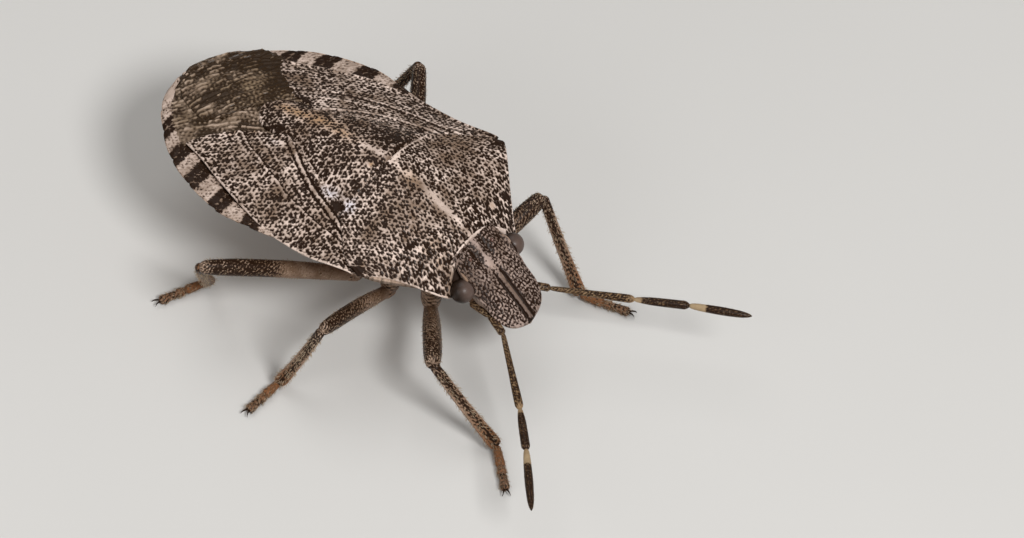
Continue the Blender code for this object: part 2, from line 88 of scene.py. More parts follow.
CLAVAL_SUTURE = [(-2.3, 3.0), (-1.46, 2.57), (-0.81, 2.34), (0.05, 2.01), (0.87, 1.56), (1.59, 1.07),
                 (2.0, 0.8)]
MAIN_VEIN = [(-2.2, 3.18), (-1.34, 2.95), (-0.7, 2.86), (0.05, 2.69), (0.71, 2.53), (1.26, 2.29),
             (1.8, 2.11), (2.18, 1.92), (2.85, 1.63), (3.41, 1.27)]
MEMBRANE_TOP_EDGE = [(2.6, 0.6), (3.35, 0.4), (3.7, 0.1), (4.3, -0.88), (4.6, -1.2), (4.9, -1.32),
                     (5.5, -1.15), (6.2, -0.75), (6.75, -0.1)]
MEMBRANE_LEFT_RIM = [(4.4, 1.95), (4.71, 2.5), (5.36, 2.5), (6.05, 1.93), (6.5, 1.38), (6.78, 0.7),
                     (6.85, 0.2)]
LEFT_VEIN_HEADING = (-0.88, 0.48)
RIGHT_VEIN_HEADING = (-0.35, 0.94)
VEIN_SPACING = 0.215
MEMBRANE_CORNER = [(2.1, 4.4), (1.7, 3.95), (1.3, 3.5), (2.3, 5.1), (1.7, 5.6)]
TIP_SPOT = (-0.87, 6.59)
SUTURES = [-0.2, 1.05, 2.33, 3.58, 4.63, 5.65, 6.35]

# The head.
HEAD_SLOPE = 0.766
HEAD_END = -4.55
HEAD_ROWS = 132
HEAD_COLUMNS = 129
HEAD_WIDTH = [(-6.98, 0.1), (-6.96, 0.32), (-6.92, 0.5), (-6.82, 0.74), (-6.66, 0.92), (-6.47, 1.02),
              (-6.22, 1.08), (-5.9, 1.08), (-5.6, 1.13), (-5.2, 1.12), (-4.6, 1.0)]
HEAD_BOTTOM = [(-7.03, -1.66), (-6.4, -1.85), (-5.8, -1.8), (-5.2, -1.55), (-4.6, -1.3)]
EYE_PLACE = (1.28, -5.21, -0.44)
EYE_RADIUS = 0.37
EYE_SHEEN = (0.29, -0.826, 0.484)
SOCKET_RADIUS = 0.31
SOCKET_THICKNESS = 0.03
OCELLUS = (0.55, -4.92)
OCELLUS_RADIUS = 0.06
STRIP_HALF = 0.06
STRIP_SHIFT = 0.02

# Legs as (hip, knee, ankle, toe, girth), and feelers as their six joints, in the bug's frame.
COXA_END = -2.35
ANKLE_HEIGHT = 0.2
TOE_HEIGHT = 0.13
LEGS = {
    "fore_left": ((0.95, -3.9), (4.16, -4.35, -1.2), (3.76, -6.37), (4.22, -7.96), 1.12),
    "fore_right": ((-0.95, -3.9), (-3.52, -5.85, -1.39), (-2.97, -8.08), (-4.14, -9.29), 1.12),
    "mid_left": ((1.18, -2.5), (4.5, -1.7, -1.4), (5.5, -0.5), (6.5, -0.2), 0.9),
    "mid_right": ((-1.18, -2.5), (-4.95, -2.67, -0.93), (-5.19, -1.4), (-6.67, -1.35), 0.9),
    "hind_left": ((1.33, -1.35), (5.47, 1.54, -0.22), (5.5, 3.62), (6.47, 5.08), 1.0),
    "hind_right": ((-1.33, -1.35), (-5.57, 1.58, -0.57), (-3.31, 2.89), (-4.92, 3.56), 1.0),
}
ANTENNAE = {
    "left": [(0.9, -5.35, -1.25), (1.02, -6.0, -1.45), (1.48, -6.62, -1.6), (2.79, -8.89, -1.6),
             (3.68, -10.34, -1.6), (4.57, -12.06, -1.6)],
    "right": [(-0.9, -5.3, -1.2), (-0.93, -6.05, -1.2), (-1.25, -6.8, -1.25), (-2.95, -8.75, -1.8),
              (-4.05, -9.8, -1.9), (-5.9, -11.35, -1.85)],
}

# Blots in the back's pattern: (x, y, half-length across, half-length along, strength).
# The dark blots at the head's base, just in front of the collar (y about -4.9), are painted shadow; the other
# dark blots are the shell's own marks.
DARK_AND_SHADOW_BLOTS = [(1.0, -0.85, 0.7, 0.28, 0.8), (0.85, -0.3, 0.55, 0.35, 0.55), (0.64, 0.6, 0.4, 0.45, 0.35),
              (-0.42, -1.12, 0.3, 0.18, 0.6), (-1.28, -1.02, 0.3, 0.18, 0.5), (0.86, 2.75, 0.2, 0.35, 1.5),
              (-0.72, 2.5, 0.14, 0.4, 1.2), (3.74, -2.92, 0.28, 0.17, 3.5), (-3.74, -2.92, 0.28, 0.17, 3.5),
              (-1.84, -3.51, 0.09, 0.07, 2.4), (2.04, -0.93, 0.1, 0.07, 2.0), (-2.1, -0.93, 0.1, 0.17, 3.5),
              (-1.9, -4.05, 0.25, 0.12, 0.4), (0.3, -4.85, 0.14, 0.3, 0.9), (-0.3, -4.9, 0.14, 0.32, 0.9),
              (-0.85, -4.95, 0.3, 0.2, 0.8), (0.8, -4.95, 0.3, 0.15, 0.5), (-0.85, -5.75, 0.1, 0.3, 0.6)]
BROWN_BLOTS = [(2.6, -2.2, 0.9, 0.45, 0.45), (1.5, -2.3, 0.8, 0.4, 0.25), (-1.3, -2.8, 0.6, 0.5, 0.3),
               (2.4, 1.8, 0.5, 1.3, 0.3), (-1.15, -5.0, 0.3, 0.22, 2.2), (-2.6, -0.4, 0.3, 0.8, 0.2)]
BARE_BLOTS = [(0.02, -3.3, 0.15, 0.5, 1.0), (0.04, -2.6, 0.1, 0.35, 0.7), (0.0, -2.05, 0.16, 0.25, 0.7),
              (-0.02, -1.5, 0.1, 0.3, 0.6), (-0.02, -0.75, 0.13, 0.42, 1.1), (-0.04, -5.3, 0.09, 0.1, 1.4),
              (-1.68, -3.75, 0.1, 0.07, 1.2), (-1.95, -1.3, 0.2, 0.15, 0.35),
              (-1.85, -0.5, 0.18, 0.35, 0.3), (-1.15, -5.1, 0.2, 0.2, 0.6), (1.5, -4.2, 0.11, 0.07, 2.0),
              (-1.08, 2.08, 0.1, 0.25, 0.6), (1.08, 2.08, 0.1, 0.25, 0.5), (-0.55, -1.01, 0.06, 0.06, 2.0),
              (0.55, -1.01, 0.06, 0.06, 2.0), (0.24, -1.36, 0.25, 0.08, 0.8), (0.05, 0.5, 0.2, 0.5, 0.3),
              (0.2, 1.4, 0.2, 0.6, 0.35), (0.15, 2.4, 0.2, 0.6, 0.35)]
WARM_BLOTS = [(0.05, 0.5, 0.26, 0.5, 0.7), (0.25, 1.4, 0.26, 0.6, 0.85), (0.15, 2.3, 0.26, 0.5, 0.85),
              (0.15, 2.95, 0.25, 0.4, 0.7), (0.0, -2.05, 0.25, 0.3, 0.4), (-1.36, -3.95, 0.28, 0.16, 0.45),
              (-1.4, -4.34, 0.22, 0.12, 0.5), (-3.33, -2.85, 0.12, 0.1, 0.8), (-1.34, 3.7, 0.16, 0.1, 0.9),
              (-0.55, -1.01, 0.08, 0.08, 1.0), (-1.03, 3.16, 0.1, 0.16, 0.9), (-0.95, 2.3, 0.1, 0.25, 0.5),
              (1.5, -4.2, 0.12, 0.08, 0.4)]
# Painted sheen: pale bluish patches where light glances off the shell. The bare blots near x -1.9, y -1.3 and
# -0.5, sit under it and make it paler.
SHEEN_BLOTS = [(-1.98, -1.3, 0.3, 0.25, 0.8), (-1.85, -0.45, 0.22, 0.4, 0.7), (-1.1, 2.3, 0.2, 0.4, 0.35)]

# Spacing of the punctures, how deep they go, and how round they are on the head and on the limbs.
PRONOTUM_PERIOD = 0.145
SHELL_PERIOD = 0.155
HEAD_PERIOD = 0.108
RIM_PERIOD = 0.13
BELLY_PERIOD = 0.15
PIT_DEPTH = 0.03
PALE_DOTS = -0.8
LIMB_DOTS = 0.4
PATTERN_WAVES = 48
RANDOM = np.random.default_rng(11).random((4096, 3))

# Linear colours.
PALE = (0.76, 0.615, 0.535)
SHADE = (0.2, 0.135, 0.095)
BLACK = (0.018, 0.0075, 0.003)
WARM = (0.44, 0.27, 0.15)
# Colour of the painted bluish sheen.
PAINTED_SHEEN = (0.62, 0.62, 0.7)
HEAD_SHELL = {"pale": (0.42, 0.32, 0.28), "shade": (0.15, 0.105, 0.085)}
FILM = {"pale": (0.52, 0.4, 0.32), "shade": (0.16, 0.105, 0.065), "dark": (0.03, 0.016, 0.007),
        "warm": (0.17, 0.12, 0.055), "soft": 0.25, "hard": 0.75, "gloss": 0.36}
LIMB_SHELL = {"pale": (0.46, 0.34, 0.26), "shade": (0.12, 0.07, 0.04), "warm": (0.21, 0.085, 0.032)}
FEELER_SHELL = {"pale": (0.55, 0.43, 0.27), "shade": (0.085, 0.045, 0.022), "warm": (0.26, 0.15, 0.065)}
# The eye's colour in painted shade, and under its painted sheen.
EYE_SHADE_AND_SHEEN = ((0.012, 0.006, 0.003), (0.1, 0.067, 0.055))
LENS_TONES = ((0.07, 0.022, 0.012), (0.12, 0.05, 0.03))
HAIR_TONES = ((0.22, 0.14, 0.07), (0.6, 0.47, 0.33))
FLOOR_TONES = ((0.60, 0.59, 0.57), (0.64, 0.63, 0.61))
SURROUND = (1.0, 0.97, 0.94, 1.0)
SURROUND_STRENGTH = 0.24

# Marks (darkness, tone, tint) of small plain parts.
UNDERSIDE_MARKS = (0.3, 0.4, 0.5)
# Painted shade: the neck, in the gap between the head and the collar, is coloured dark.
NECK_SHADE_MARKS = (0.75, 0.0, 0.6)
SOCKET_MARKS = (0.6, 0.1, 0.75)
CLAW_MARKS = (0.75, 0.3, 0.7)
LENS_MARKS = (0.2, 0.6, 0.5)

# Lamps as (name, place, size, power), in millimetres and watts.
LAMPS = [("key", (-50, -115, 140), 60, 0.27),
         ("fill", (-160, 20, 70), 120, 0.07),
         ("top", (30, 60, 160), 140, 0.08)]


def curve(stations, t):
    """Read a smooth curve, without overshoot, through (place, value) stations."""
    places, values = np.array(stations, float).T
    slopes = np.diff(values) / np.diff(places)
    before, after = slopes[:-1], slopes[1:]
    rising = before * after > 0
    total = np.where(rising, before + after, 1.0)
    inner = np.where(rising, 2 * before * after / total, 0.0)
    tangents = np.concatenate(([slopes[0]], inner, [slopes[-1]]))
    t = np.clip(t, places[0], places[-1])
    i = np.clip(np.searchsorted(places, t, side="right") - 1, 0, len(places) - 2)
    step = places[i + 1] - places[i]
    f = (t - places[i]) / step
    start = values[i] * (2 * f ** 3 - 3 * f ** 2 + 1) + tangents[i] * step * (f ** 3 - 2 * f ** 2 + f)
    end = values[i + 1] * (3 * f ** 2 - 2 * f ** 3) + tangents[i + 1] * step * (f ** 3 - f ** 2)
    return start + end


def stack(*parts):
    """Grids joined along a new last axis: x, y and z to points, or darkness, tone and tint to marks."""
    return np.stack(parts, -1)


def smooth(low, high, t):
    """A soft step from 0 at low to 1 at high."""
    f = np.clip((t - low) / (high - low), 0.0, 1.0)
    return f * f * (3 - 2 * f)


def bell(distance, width):
    """A soft hump one width wide to each side."""
    return np.exp(-(distance / width) ** 2)


def back(x, y):
    """Height of the back: a soft roof between the ridge and the side edge."""
    s = np.abs(x) / curve(HALF_WIDTH, y)
    a = BACK_ROUNDING
    fall = (np.hypot(s, a) - a) / (math.hypot(1, a) - a)
    ridge = curve(BACK_RIDGE, y)
    return ridge - (ridge - curve(SIDE_EDGE, y)) * fall


def belly(x, y):
    """Height of the underside: full along the middle, rising steeply to the side edge."""
    s = np.minimum(np.abs(x) / curve(HALF_WIDTH, y), 1.0)
    edge = curve(SIDE_EDGE, y)
    return edge - (edge - curve(BELLY_KEEL, y)) * (1 - s * s) ** BELLY_POWER


def dice(ix, iy, seed):
    """Three seeded random numbers for each cell of a lattice."""
    return RANDOM[(ix * 1619 + iy * 3137 + seed * 677) & 4095]


def noise(x, y, size, seed):
    """Smooth noise from -1 to 1 whose swings are about one size long."""
    gx, gy = x / size, y / size
    ix, iy = np.floor(gx).astype(int), np.floor(gy).astype(int)
    fx, fy = smooth(0, 1, gx - ix), smooth(0, 1, gy - iy)
    low = dice(ix, iy, seed)[..., 0] * (1 - fx) + dice(ix + 1, iy, seed)[..., 0] * fx
    high = dice(ix, iy + 1, seed)[..., 0] * (1 - fx) + dice(ix + 1, iy + 1, seed)[..., 0] * fx
    return 2 * (low * (1 - fy) + high * fy) - 1


def waves(x, y, period, seed):
    """Evenly spaced blobs and worms, as the sum of waves of like length that run all ways."""
    draw = np.random.default_rng(seed)
    total = np.zeros(np.shape(x))
    for _ in range(PATTERN_WAVES):
        heading = draw.uniform(0, math.tau)
        size = math.tau / period * draw.uniform(0.82, 1.22)
        total += np.cos(size * (x * math.cos(heading) + y * math.sin(heading)) + draw.uniform(0, math.tau))
    return total / math.sqrt(PATTERN_WAVES / 2)


def dots(x, y, spacing, seed):
    """Round spots of uneven size on a shaken lattice: above zero inside them, below between them."""
    row_height = 0.87
    across, down = x / spacing, y / (spacing * row_height)
    middle_row = np.floor(down).astype(int)
    best = np.full(np.shape(x), -1.0)
    for iy in (middle_row - 1, middle_row, middle_row + 1):
        shifted = across - 0.5 * (iy & 1)
        for step in (-1, 0, 1):
            ix = np.floor(shifted).astype(int) + step
            draw = dice(ix, iy, seed)
            away = np.hypot(shifted - ix - 0.27 - 0.46 * draw[..., 0],
                            (down - iy - 0.27 - 0.46 * draw[..., 1]) * row_height)
            best = np.maximum(best, 0.21 + 0.2 * draw[..., 2] - away)
    return best


def punctures(x, y, period, seed, roundness=1.3):
    """Pits about one period apart, uneven and some run together.

    They are worms at roundness 0, dark dots when it is above that, and pale dots when below.
    """
    total = (0.25 - 0.14 * min(abs(roundness), 1.3)) * waves(x, y, period, seed)
    total += 0.1 * waves(x, y, 0.58 * period, seed + 300) + 0.05 * waves(x, y, 2.4 * period, seed + 600)
    return 0.5 + total + roundness * (0.03 + dots(x, y, period, seed))


def blots(x, y, places):
    """Sum of soft blots at the named places."""
    total = np.zeros(np.shape(x))
    for cx, cy, rx, ry, strength in places:
        total += strength * np.exp(-((x - cx) / rx) ** 2 - ((y - cy) / ry) ** 2)
    return total


def across(x, y, line):
    """Signed distance from a line that runs along the body on both sides, measured square to it."""
    slope = (curve(line, y + 0.05) - curve(line, y - 0.05)) / 0.1
    return (np.abs(x) - curve(line, y)) / np.hypot(1, slope)


def pattern(x, y, period, seed, bare=0.0, dark=0.0, roundness=1.3):
    """The back's pattern at places: darkness, tone and tint, with painted shadow and a painted bluish sheen
    among its blots.
    """
    bare = np.clip(bare + blots(x, y, BARE_BLOTS), 0, 1)
    # Dark blots: the shell's own dark marks, and painted shadow at the head's base.
    dark_and_shadow = blots(x, y, DARK_AND_SHADOW_BLOTS)
    darkness = punctures(x, y, period, seed, roundness)
    darkness += 0.03 + 0.06 * noise(x, y, 0.9, seed + 5) + 0.05 * noise(x, y, 0.35, seed + 8)
    darkness = darkness + dark + 0.3 * dark_and_shadow - 0.55 * bare
    tone = 0.66 + 0.55 * noise(x, y, 0.8, seed + 6) + 0.4 * noise(x, y, 0.25, seed + 7)
    tone = tone - 0.1 * dark_and_shadow - 0.6 * dark + 0.35 * bare - blots(x, y, BROWN_BLOTS)
    tint = 0.53 + 0.03 * noise(x, y, 0.5, seed + 9)
    # A tint below the middle paints the bluish sheen.
    tint = tint + 0.5 * blots(x, y, WARM_BLOTS) - 0.53 * blots(x, y, SHEEN_BLOTS)
    return stack(np.clip(darkness, 0, 1.4), np.clip(tone, 0, 1), np.clip(tint, 0, 1))


def pits(marks):
    """How deep the surface lies in its punctures."""
    return PIT_DEPTH * smooth(0.25, 0.85, marks[..., 0])


def rounded(distance, radius):
    """How far a rounded edge drops at a distance from the border."""
    f = 1 - np.clip(distance / radius, 0, 1)
    return radius * (1 - np.sqrt(1 - f * f))


def border(points, front=True, hind=True, sides=True):
    """Distance of each grid point from the chosen borders of its sheet."""
    def run(a, axis):
        step = np.linalg.norm(np.diff(a, axis=axis), axis=-1)
        lengths = np.cumsum(step, axis=axis)
        return np.insert(lengths, 0, 0.0, axis=axis)
    away = np.full(points.shape[:2], 9.0)
    if front:
        away = np.minimum(away, run(points, 0))
    if hind:
        away = np.minimum(away, run(points[::-1], 0)[::-1])
    if sides:
        away = np.minimum(away, run(points, 1))
        away = np.minimum(away, run(points[:, ::-1], 1)[:, ::-1])
    return away


def to_scene():
    """Where the bug's frame lies in the scene, in metres, from the frame's two eyes and its floor."""
    left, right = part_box("eye_left"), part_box("eye_right")
    middle = (left[0] + left[1] + right[0] + right[1]) / 4
    return np.array((middle.x, middle.y - EYE_PLACE[1] * MM, -FLOOR * MM))


ORIGIN = to_scene()


def put_in_scene(name, data):
    """A new object made of a mesh, a lamp or a camera."""
    made = bpy.data.objects.new(name, data)
    bpy.context.collection.objects.link(made)
    return made


class Piece:
    """Points, faces and marks of one visible piece, gathered from its parts."""

    def __init__(self):
        self.points = []
        self.marks = []
        self.faces = []
        self.count = 0

    def add(self, points, faces, marks):
        points = np.asarray(points, float).reshape(-1, 3)
        marks = np.broadcast_to(marks, points.shape) if np.ndim(marks) == 1 else marks.reshape(-1, 3)
        self.points.append(points)
        self.marks.append(marks)
        self.faces += [[i + self.count for i in face] for face in faces]
        self.count += len(points)

    def plate(self, top, marks, depth, keep=9, inset=0.0):
        """A closed plate: a fine top, and a plain underside of few columns, drawn in at the sides."""
        rows, cols = top.shape[:2]
        picked = np.linspace(0, cols - 1, keep).round().astype(int)
        under = top[:, picked] - np.array((0, 0, depth))
        under[..., 0] -= inset * np.sign(under[..., 0]) * np.linspace(-1, 1, keep) ** 8
        index = np.arange(rows * cols).reshape(rows, cols)
        low = np.arange(rows * keep).reshape(rows, keep) + rows * cols
        faces = quads(index) + quads(low)
        for r, flip in ((0, 1), (rows - 1, -1)):
            for k in range(keep - 1):
                edge = list(index[r, picked[k]:picked[k + 1] + 1])
                faces.append((edge + [low[r, k + 1], low[r, k]])[::flip])
        for c, k in ((0, 0), (cols - 1, keep - 1)):
            for r in range(rows - 1):
                faces.append([index[r, c], index[r + 1, c], low[r + 1, k], low[r, k]])
        plain = np.tile(UNDERSIDE_MARKS, (rows * keep, 1))
        self.add(np.concatenate((top.reshape(-1, 3), under.reshape(-1, 3))), faces,
                 np.concatenate((marks.reshape(-1, 3), plain)))

    def tube(self, rings, marks):
        """A closed skin round a stack of rings."""
        rows, cols = rings.shape[:2]
        index = np.arange(rows * cols).reshape(rows, cols)
        wrapped = np.concatenate((index, index[:, :1]), axis=1)
        faces = quads(wrapped) + [list(index[0]), list(index[-1])]
        self.add(rings, faces, marks)

    def finish(self, name, material, nodes=()):
        """Make the object, with its marks, and let it ride in place of the frame's nodes."""
        mesh = bpy.data.meshes.new(name)
        points = np.concatenate(self.points) * MM + ORIGIN
        mesh.from_pydata(points.tolist(), [], self.faces)
        shaped = bmesh.new()
        shaped.from_mesh(mesh)
        bmesh.ops.recalc_face_normals(shaped, faces=shaped.faces)
        shaped.to_mesh(mesh)
        shaped.free()
        marks = np.ones((self.count, 4), np.float32)
        marks[:, :3] = np.concatenate(self.marks)
        layer = mesh.color_attributes.new("marks", "FLOAT_COLOR", "POINT")
        layer.data.foreach_set("color", marks.ravel())
        mesh.shade_smooth()
        mesh.materials.append(material)
        made = put_in_scene(name, mesh)
        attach(made, "root")
        if nodes:
            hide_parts(*nodes)


def quads(index):
    """The four-sided faces of a grid of point numbers."""
    return stack(index[:-1, :-1], index[:-1, 1:], index[1:, 1:], index[1:, :-1]).reshape(-1, 4).tolist()


def finish_plate(name, material, node, top, marks, depth, keep=9, inset=0.0):
    """One closed plate as a piece of its own."""
    piece = Piece()
    piece.plate(top, marks, depth, keep, inset)
    piece.finish(name, material, (node,))


def grid(low_v, high_v, low_u, high_u, length, width):
    """Even rows (v) and columns (u) about one FINE apart on a sheet of that length and width."""
    v = np.linspace(low_v, high_v, int(length / FINE))
    u = np.linspace(low_u, high_u, int(width / FINE))
    return np.meshgrid(v, u, indexing="ij")


def make_pronotum(material):
    """The collar plate, with its raised front rim, thin side rims and two low calli."""
    v, u = grid(0, 1, -1, 1, 3.4, 7.2)
    corner, shoulder = PRONOTUM_FRONT[-1][0], PRONOTUM_BACK[-1][0]
    front_x, hind_x = corner * u, shoulder * u
    front_y, hind_y = curve(PRONOTUM_FRONT, np.abs(front_x)), curve(PRONOTUM_BACK, np.abs(hind_x))
    hollow = 0.07 * np.sin(math.pi * v) * np.abs(u) ** 6
    x = front_x + (hind_x - front_x) * v - np.sign(u) * hollow
    y = front_y + (hind_y - front_y) * v
    nook = 0.12 * (np.abs(u) ** 9) * v ** 9
    x = x - np.sign(u) * nook
    y = y - nook * 0.3
    z = back(x, y)
    flat = stack(x, y, z)
    from_front = border(flat, hind=False, sides=False)
    from_hind = border(flat, front=False, sides=False)
    from_side = border(flat, front=False, hind=False)
    collar = 1 - smooth(1.2, 1.6, np.abs(x))
    z += collar * (0.05 * bell(from_front - 0.05, 0.04) - 0.04 * bell(from_front - 0.16, 0.06))
    rim = 1 - smooth(0.75, 0.95, v)
    z += rim * (0.025 * bell(from_side - 0.03, 0.03) - 0.03 * bell(from_side - 0.1, 0.04))
    z -= 0.05 * bell(y + 3.32, 0.2) * (1 - smooth(2.0, 2.8, np.abs(x)))
    callus = bell(np.hypot((np.abs(x) - 1.35) / 0.7, (y + 3.95) / 0.3), 1.0)
    z += 0.07 * callus
    z += 0.02 * noise(x, y, 0.7, 3) + 0.03 * bell(from_hind - 0.07, 0.06)
    bare = 1.2 * collar * bell(from_front - 0.04, 0.04) + rim * bell(from_side - 0.01, 0.025)
    ragged = 0.07 + 0.03 * noise(y, y, 0.3, 8) + 0.03 * noise(x, y, 0.08, 9)
    bare += 0.85 * bell(x, ragged) * (1 - smooth(-3.4, -2.9, y))
    bare += 0.8 * bell(from_hind - 0.06, 0.035) * (1 - smooth(1.9, 2.2, np.abs(x))) * smooth(0.1, 0.3, x)
    marks = pattern(x, y, PRONOTUM_PERIOD, 21, np.clip(bare, 0, 1))
    forward = 1 - smooth(-3.7, -3.1, y + 0.2 * noise(x, y, 0.6, 24))
    marks[..., 0] += 0.06 * forward
    marks[..., 1] += 0.15 * forward
    z -= pits(marks) + rounded(border(flat), 0.035)
    finish_plate("plate_pronotum", material, "pronotum", stack(x, y, z), marks, 0.2, inset=0.3)


def make_scutellum(material):
    """The shield in the middle of the back, which starts under the pronotum and ends in a tongue."""
    v, u = grid(-1.5, SCUTELLUM_WIDTH[-1][0] - 0.01, -1, 1, 5.1, 3.9)
    half = curve(SCUTELLUM_WIDTH, v)
    x, y = half * u, v
    z = back(x, y) + 0.09 * (1 - u ** 4)
    flat = stack(x, y, z)
    edge = border(flat, front=False)
    z += 0.05 * bell(y + 0.25, 0.7) * np.clip(1 - (x / 1.5) ** 2, 0, 1) - 0.03 * bell(y - 1.5, 0.5)
    z -= 0.035 * bell(edge - 0.15, 0.07) * smooth(-0.9, -0.3, y)
    z -= 0.12 * bell(np.hypot(np.abs(x) - 2.05, y + 0.93), 0.11)
    z += 0.035 * bell(np.hypot(np.abs(x) - 0.55, y + 1.01), 0.06)
    z -= 0.16 * (1 - smooth(-1.35, -1.12, y)) + 0.015 * noise(x, y, 0.5, 4)
    bare = 0.5 * bell(edge - 0.02, 0.035) * smooth(-0.5, 0.3, y)
    marks = pattern(x, y, SHELL_PERIOD, 42, bare, 0.05)
    z -= pits(marks) + rounded(edge, 0.07)
    finish_plate("plate_scutellum", material, "scutellum", stack(x, y, z), marks, 0.3)


def make_wing(name, side, material):
    """One leathery forewing: clavus, claval suture, veins and a thin pale outer rim."""
    v, u = grid(-2.75, 4.69, 0, 1, 7.4, 2.1)
    inner = curve(CORIUM_INNER, v) - 0.14 * (1 - smooth(2.0, 2.5, v)) - 0.1 * (1 - smooth(-1.2, -0.9, v))
    outer = curve(WING_RIM, v) + 0.02
    x, y = inner + (outer - inner) * u, v
    z = back(x, y)
    flat = stack(x, y, z)
    under_neck = 1 - smooth(-1.3, -0.9, y)
    from_inner = (x - curve(CORIUM_INNER, y)) * 0.75
    z -= 0.1 * under_neck * (1 - smooth(0.0, 0.2, from_inner))
    suture = across(x, y, CLAVAL_SUTURE)
    shown = 1 - smooth(1.9, 2.1, y)
    z += shown * (0.03 * bell(suture, 0.05) - 0.04 * bell(np.abs(suture) - 0.09, 0.025))
    vein = across(x, y, MAIN_VEIN)
    z += 0.035 * bell(vein, 0.05) - 0.03 * bell(vein + 0.1, 0.03)
    low_vein = across(x, y, [(s, w - 0.36 - 0.06 * s) for s, w in MAIN_VEIN])
    z += 0.02 * bell(low_vein, 0.05) * smooth(0.0, 1.0, y)
    from_rim = outer - x
    z += 0.03 * bell(from_rim - 0.05, 0.04) - 0.02 * bell(from_rim - 0.13, 0.04)
    z += 0.015 * noise(x * side, y, 0.6, 7)
    bare = 0.75 * shown * bell(suture, 0.05) + 0.4 * bell(vein, 0.03) + 0.9 * bell(from_rim, 0.03)
    bare += 0.5 * bell(low_vein, 0.03) * smooth(0.0, 1.0, y)
    dark = 0.4 * bell(vein + 0.07, 0.022) + 0.6 * shown * bell(np.abs(suture) - 0.09, 0.025)
    marks = pattern(x * side, y, SHELL_PERIOD, 63 + side, np.clip(bare, 0, 1), dark)
    marks[..., 1] -= 0.35 * shown * bell(suture, 0.07)
    z -= pits(marks) + rounded(border(flat, front=False), 0.03)
    top = stack(x * side, y, z)
    finish_plate("wing_" + name, material, "forewing_" + name, top, marks, 0.12, keep=5, inset=0.12)


def membrane_marks(x, y, seed, heading):
    """Broken pale streaks between brown along the membrane's veins, and how high the veins stand."""
    along = x * heading[0] + y * heading[1]
    level = x * heading[1] - y * heading[0] + 0.05 * (along - 1.5) ** 2
    level += 0.07 * noise(along, level, 0.8, seed) + 0.04 * noise(along, level, 0.25, seed + 6)
    row = np.floor(level / VEIN_SPACING)
    wobble = 0.03 * noise(along, row * 0.13, 0.13, seed + 9)
    vein = bell(level - (row + 0.5) * VEIN_SPACING - wobble, 0.045)
    broken = noise(along, row * 0.3, 0.3, seed + 1) + noise(along, row * 0.1, 0.1, seed + 2)
    broken = smooth(-0.2, 0.7, broken)
    granules = 0.6 * waves(x, y, 0.14, seed + 7) - dots(along, level, 0.13, seed + 3)
    from_tongue = bell(np.hypot(x - 0.6, y - 4.1), 1.2)
    dark = 0.62 + 0.24 * granules * (0.7 + 0.6 * from_tongue)
    dark -= 0.85 * vein * broken * (1 - 0.8 * from_tongue)
    corner = sum(bell(np.hypot(x - cx, y - cy), 0.55) for cx, cy in MEMBRANE_CORNER)
    dark += 0.6 * corner + 0.3 * noise(x, y, 0.45, seed + 8)
    tone = 0.62 - 0.75 * corner + 0.4 * noise(x, y, 0.4, seed + 4)
    tint = 0.58 + 0.25 * from_tongue + 0.1 * noise(x, y, 0.5, seed + 5)
    return stack(np.clip(dark, 0, 1.2), np.clip(tone, 0, 1), np.clip(tint, 0, 1)), vein


def make_membrane(name, x, y, lift, vein_height, seed, heading, material):
    """One thin wing end, with its veins raised and its edge rounded."""
    marks, vein = membrane_marks(x, y, seed, heading)
    z = back(x, y) + lift + vein_height * vein - 0.1 * (1 - smooth(2.8, 3.7, y))
    z -= 0.02 * smooth(0.4, 0.8, marks[..., 0])
    z -= rounded(border(stack(x, y, z)), 0.03)
    top = stack(x, y, z)
    finish_plate("film_" + name, material, "membrane_" + name, top, marks, 0.06, keep=5)


def make_membranes(material):
    """The two wing ends: the right one below, the left one over it."""
    v, u = grid(2.2, 6.74, 0, 1, 4.5, 3.2)
    outer = np.where(v < 4.7, curve(CORIUM_INNER, v) + 0.1, curve(WING_RIM, v) + 0.12)
    x = -outer + (outer + 0.6) * u
    make_membrane("right", x, v, -0.05, 0.03, 91, RIGHT_VEIN_HEADING, material)
    v, u = grid(2.2, 6.84, 0, 1, 4.6, 4.0)
    inner = curve(MEMBRANE_TOP_EDGE, v)
    outer = np.where(v < 4.55, curve(CORIUM_INNER, v) + 0.1, curve(MEMBRANE_LEFT_RIM, v))
    x = inner + (np.maximum(outer, inner + 0.05) - inner) * u
    lift = 0.02 + 0.08 * smooth(0.0, 0.3, x - curve(WING_RIM, v))
    make_membrane("left", x, v, lift, 0.04, 81, LEFT_VEIN_HEADING, material)


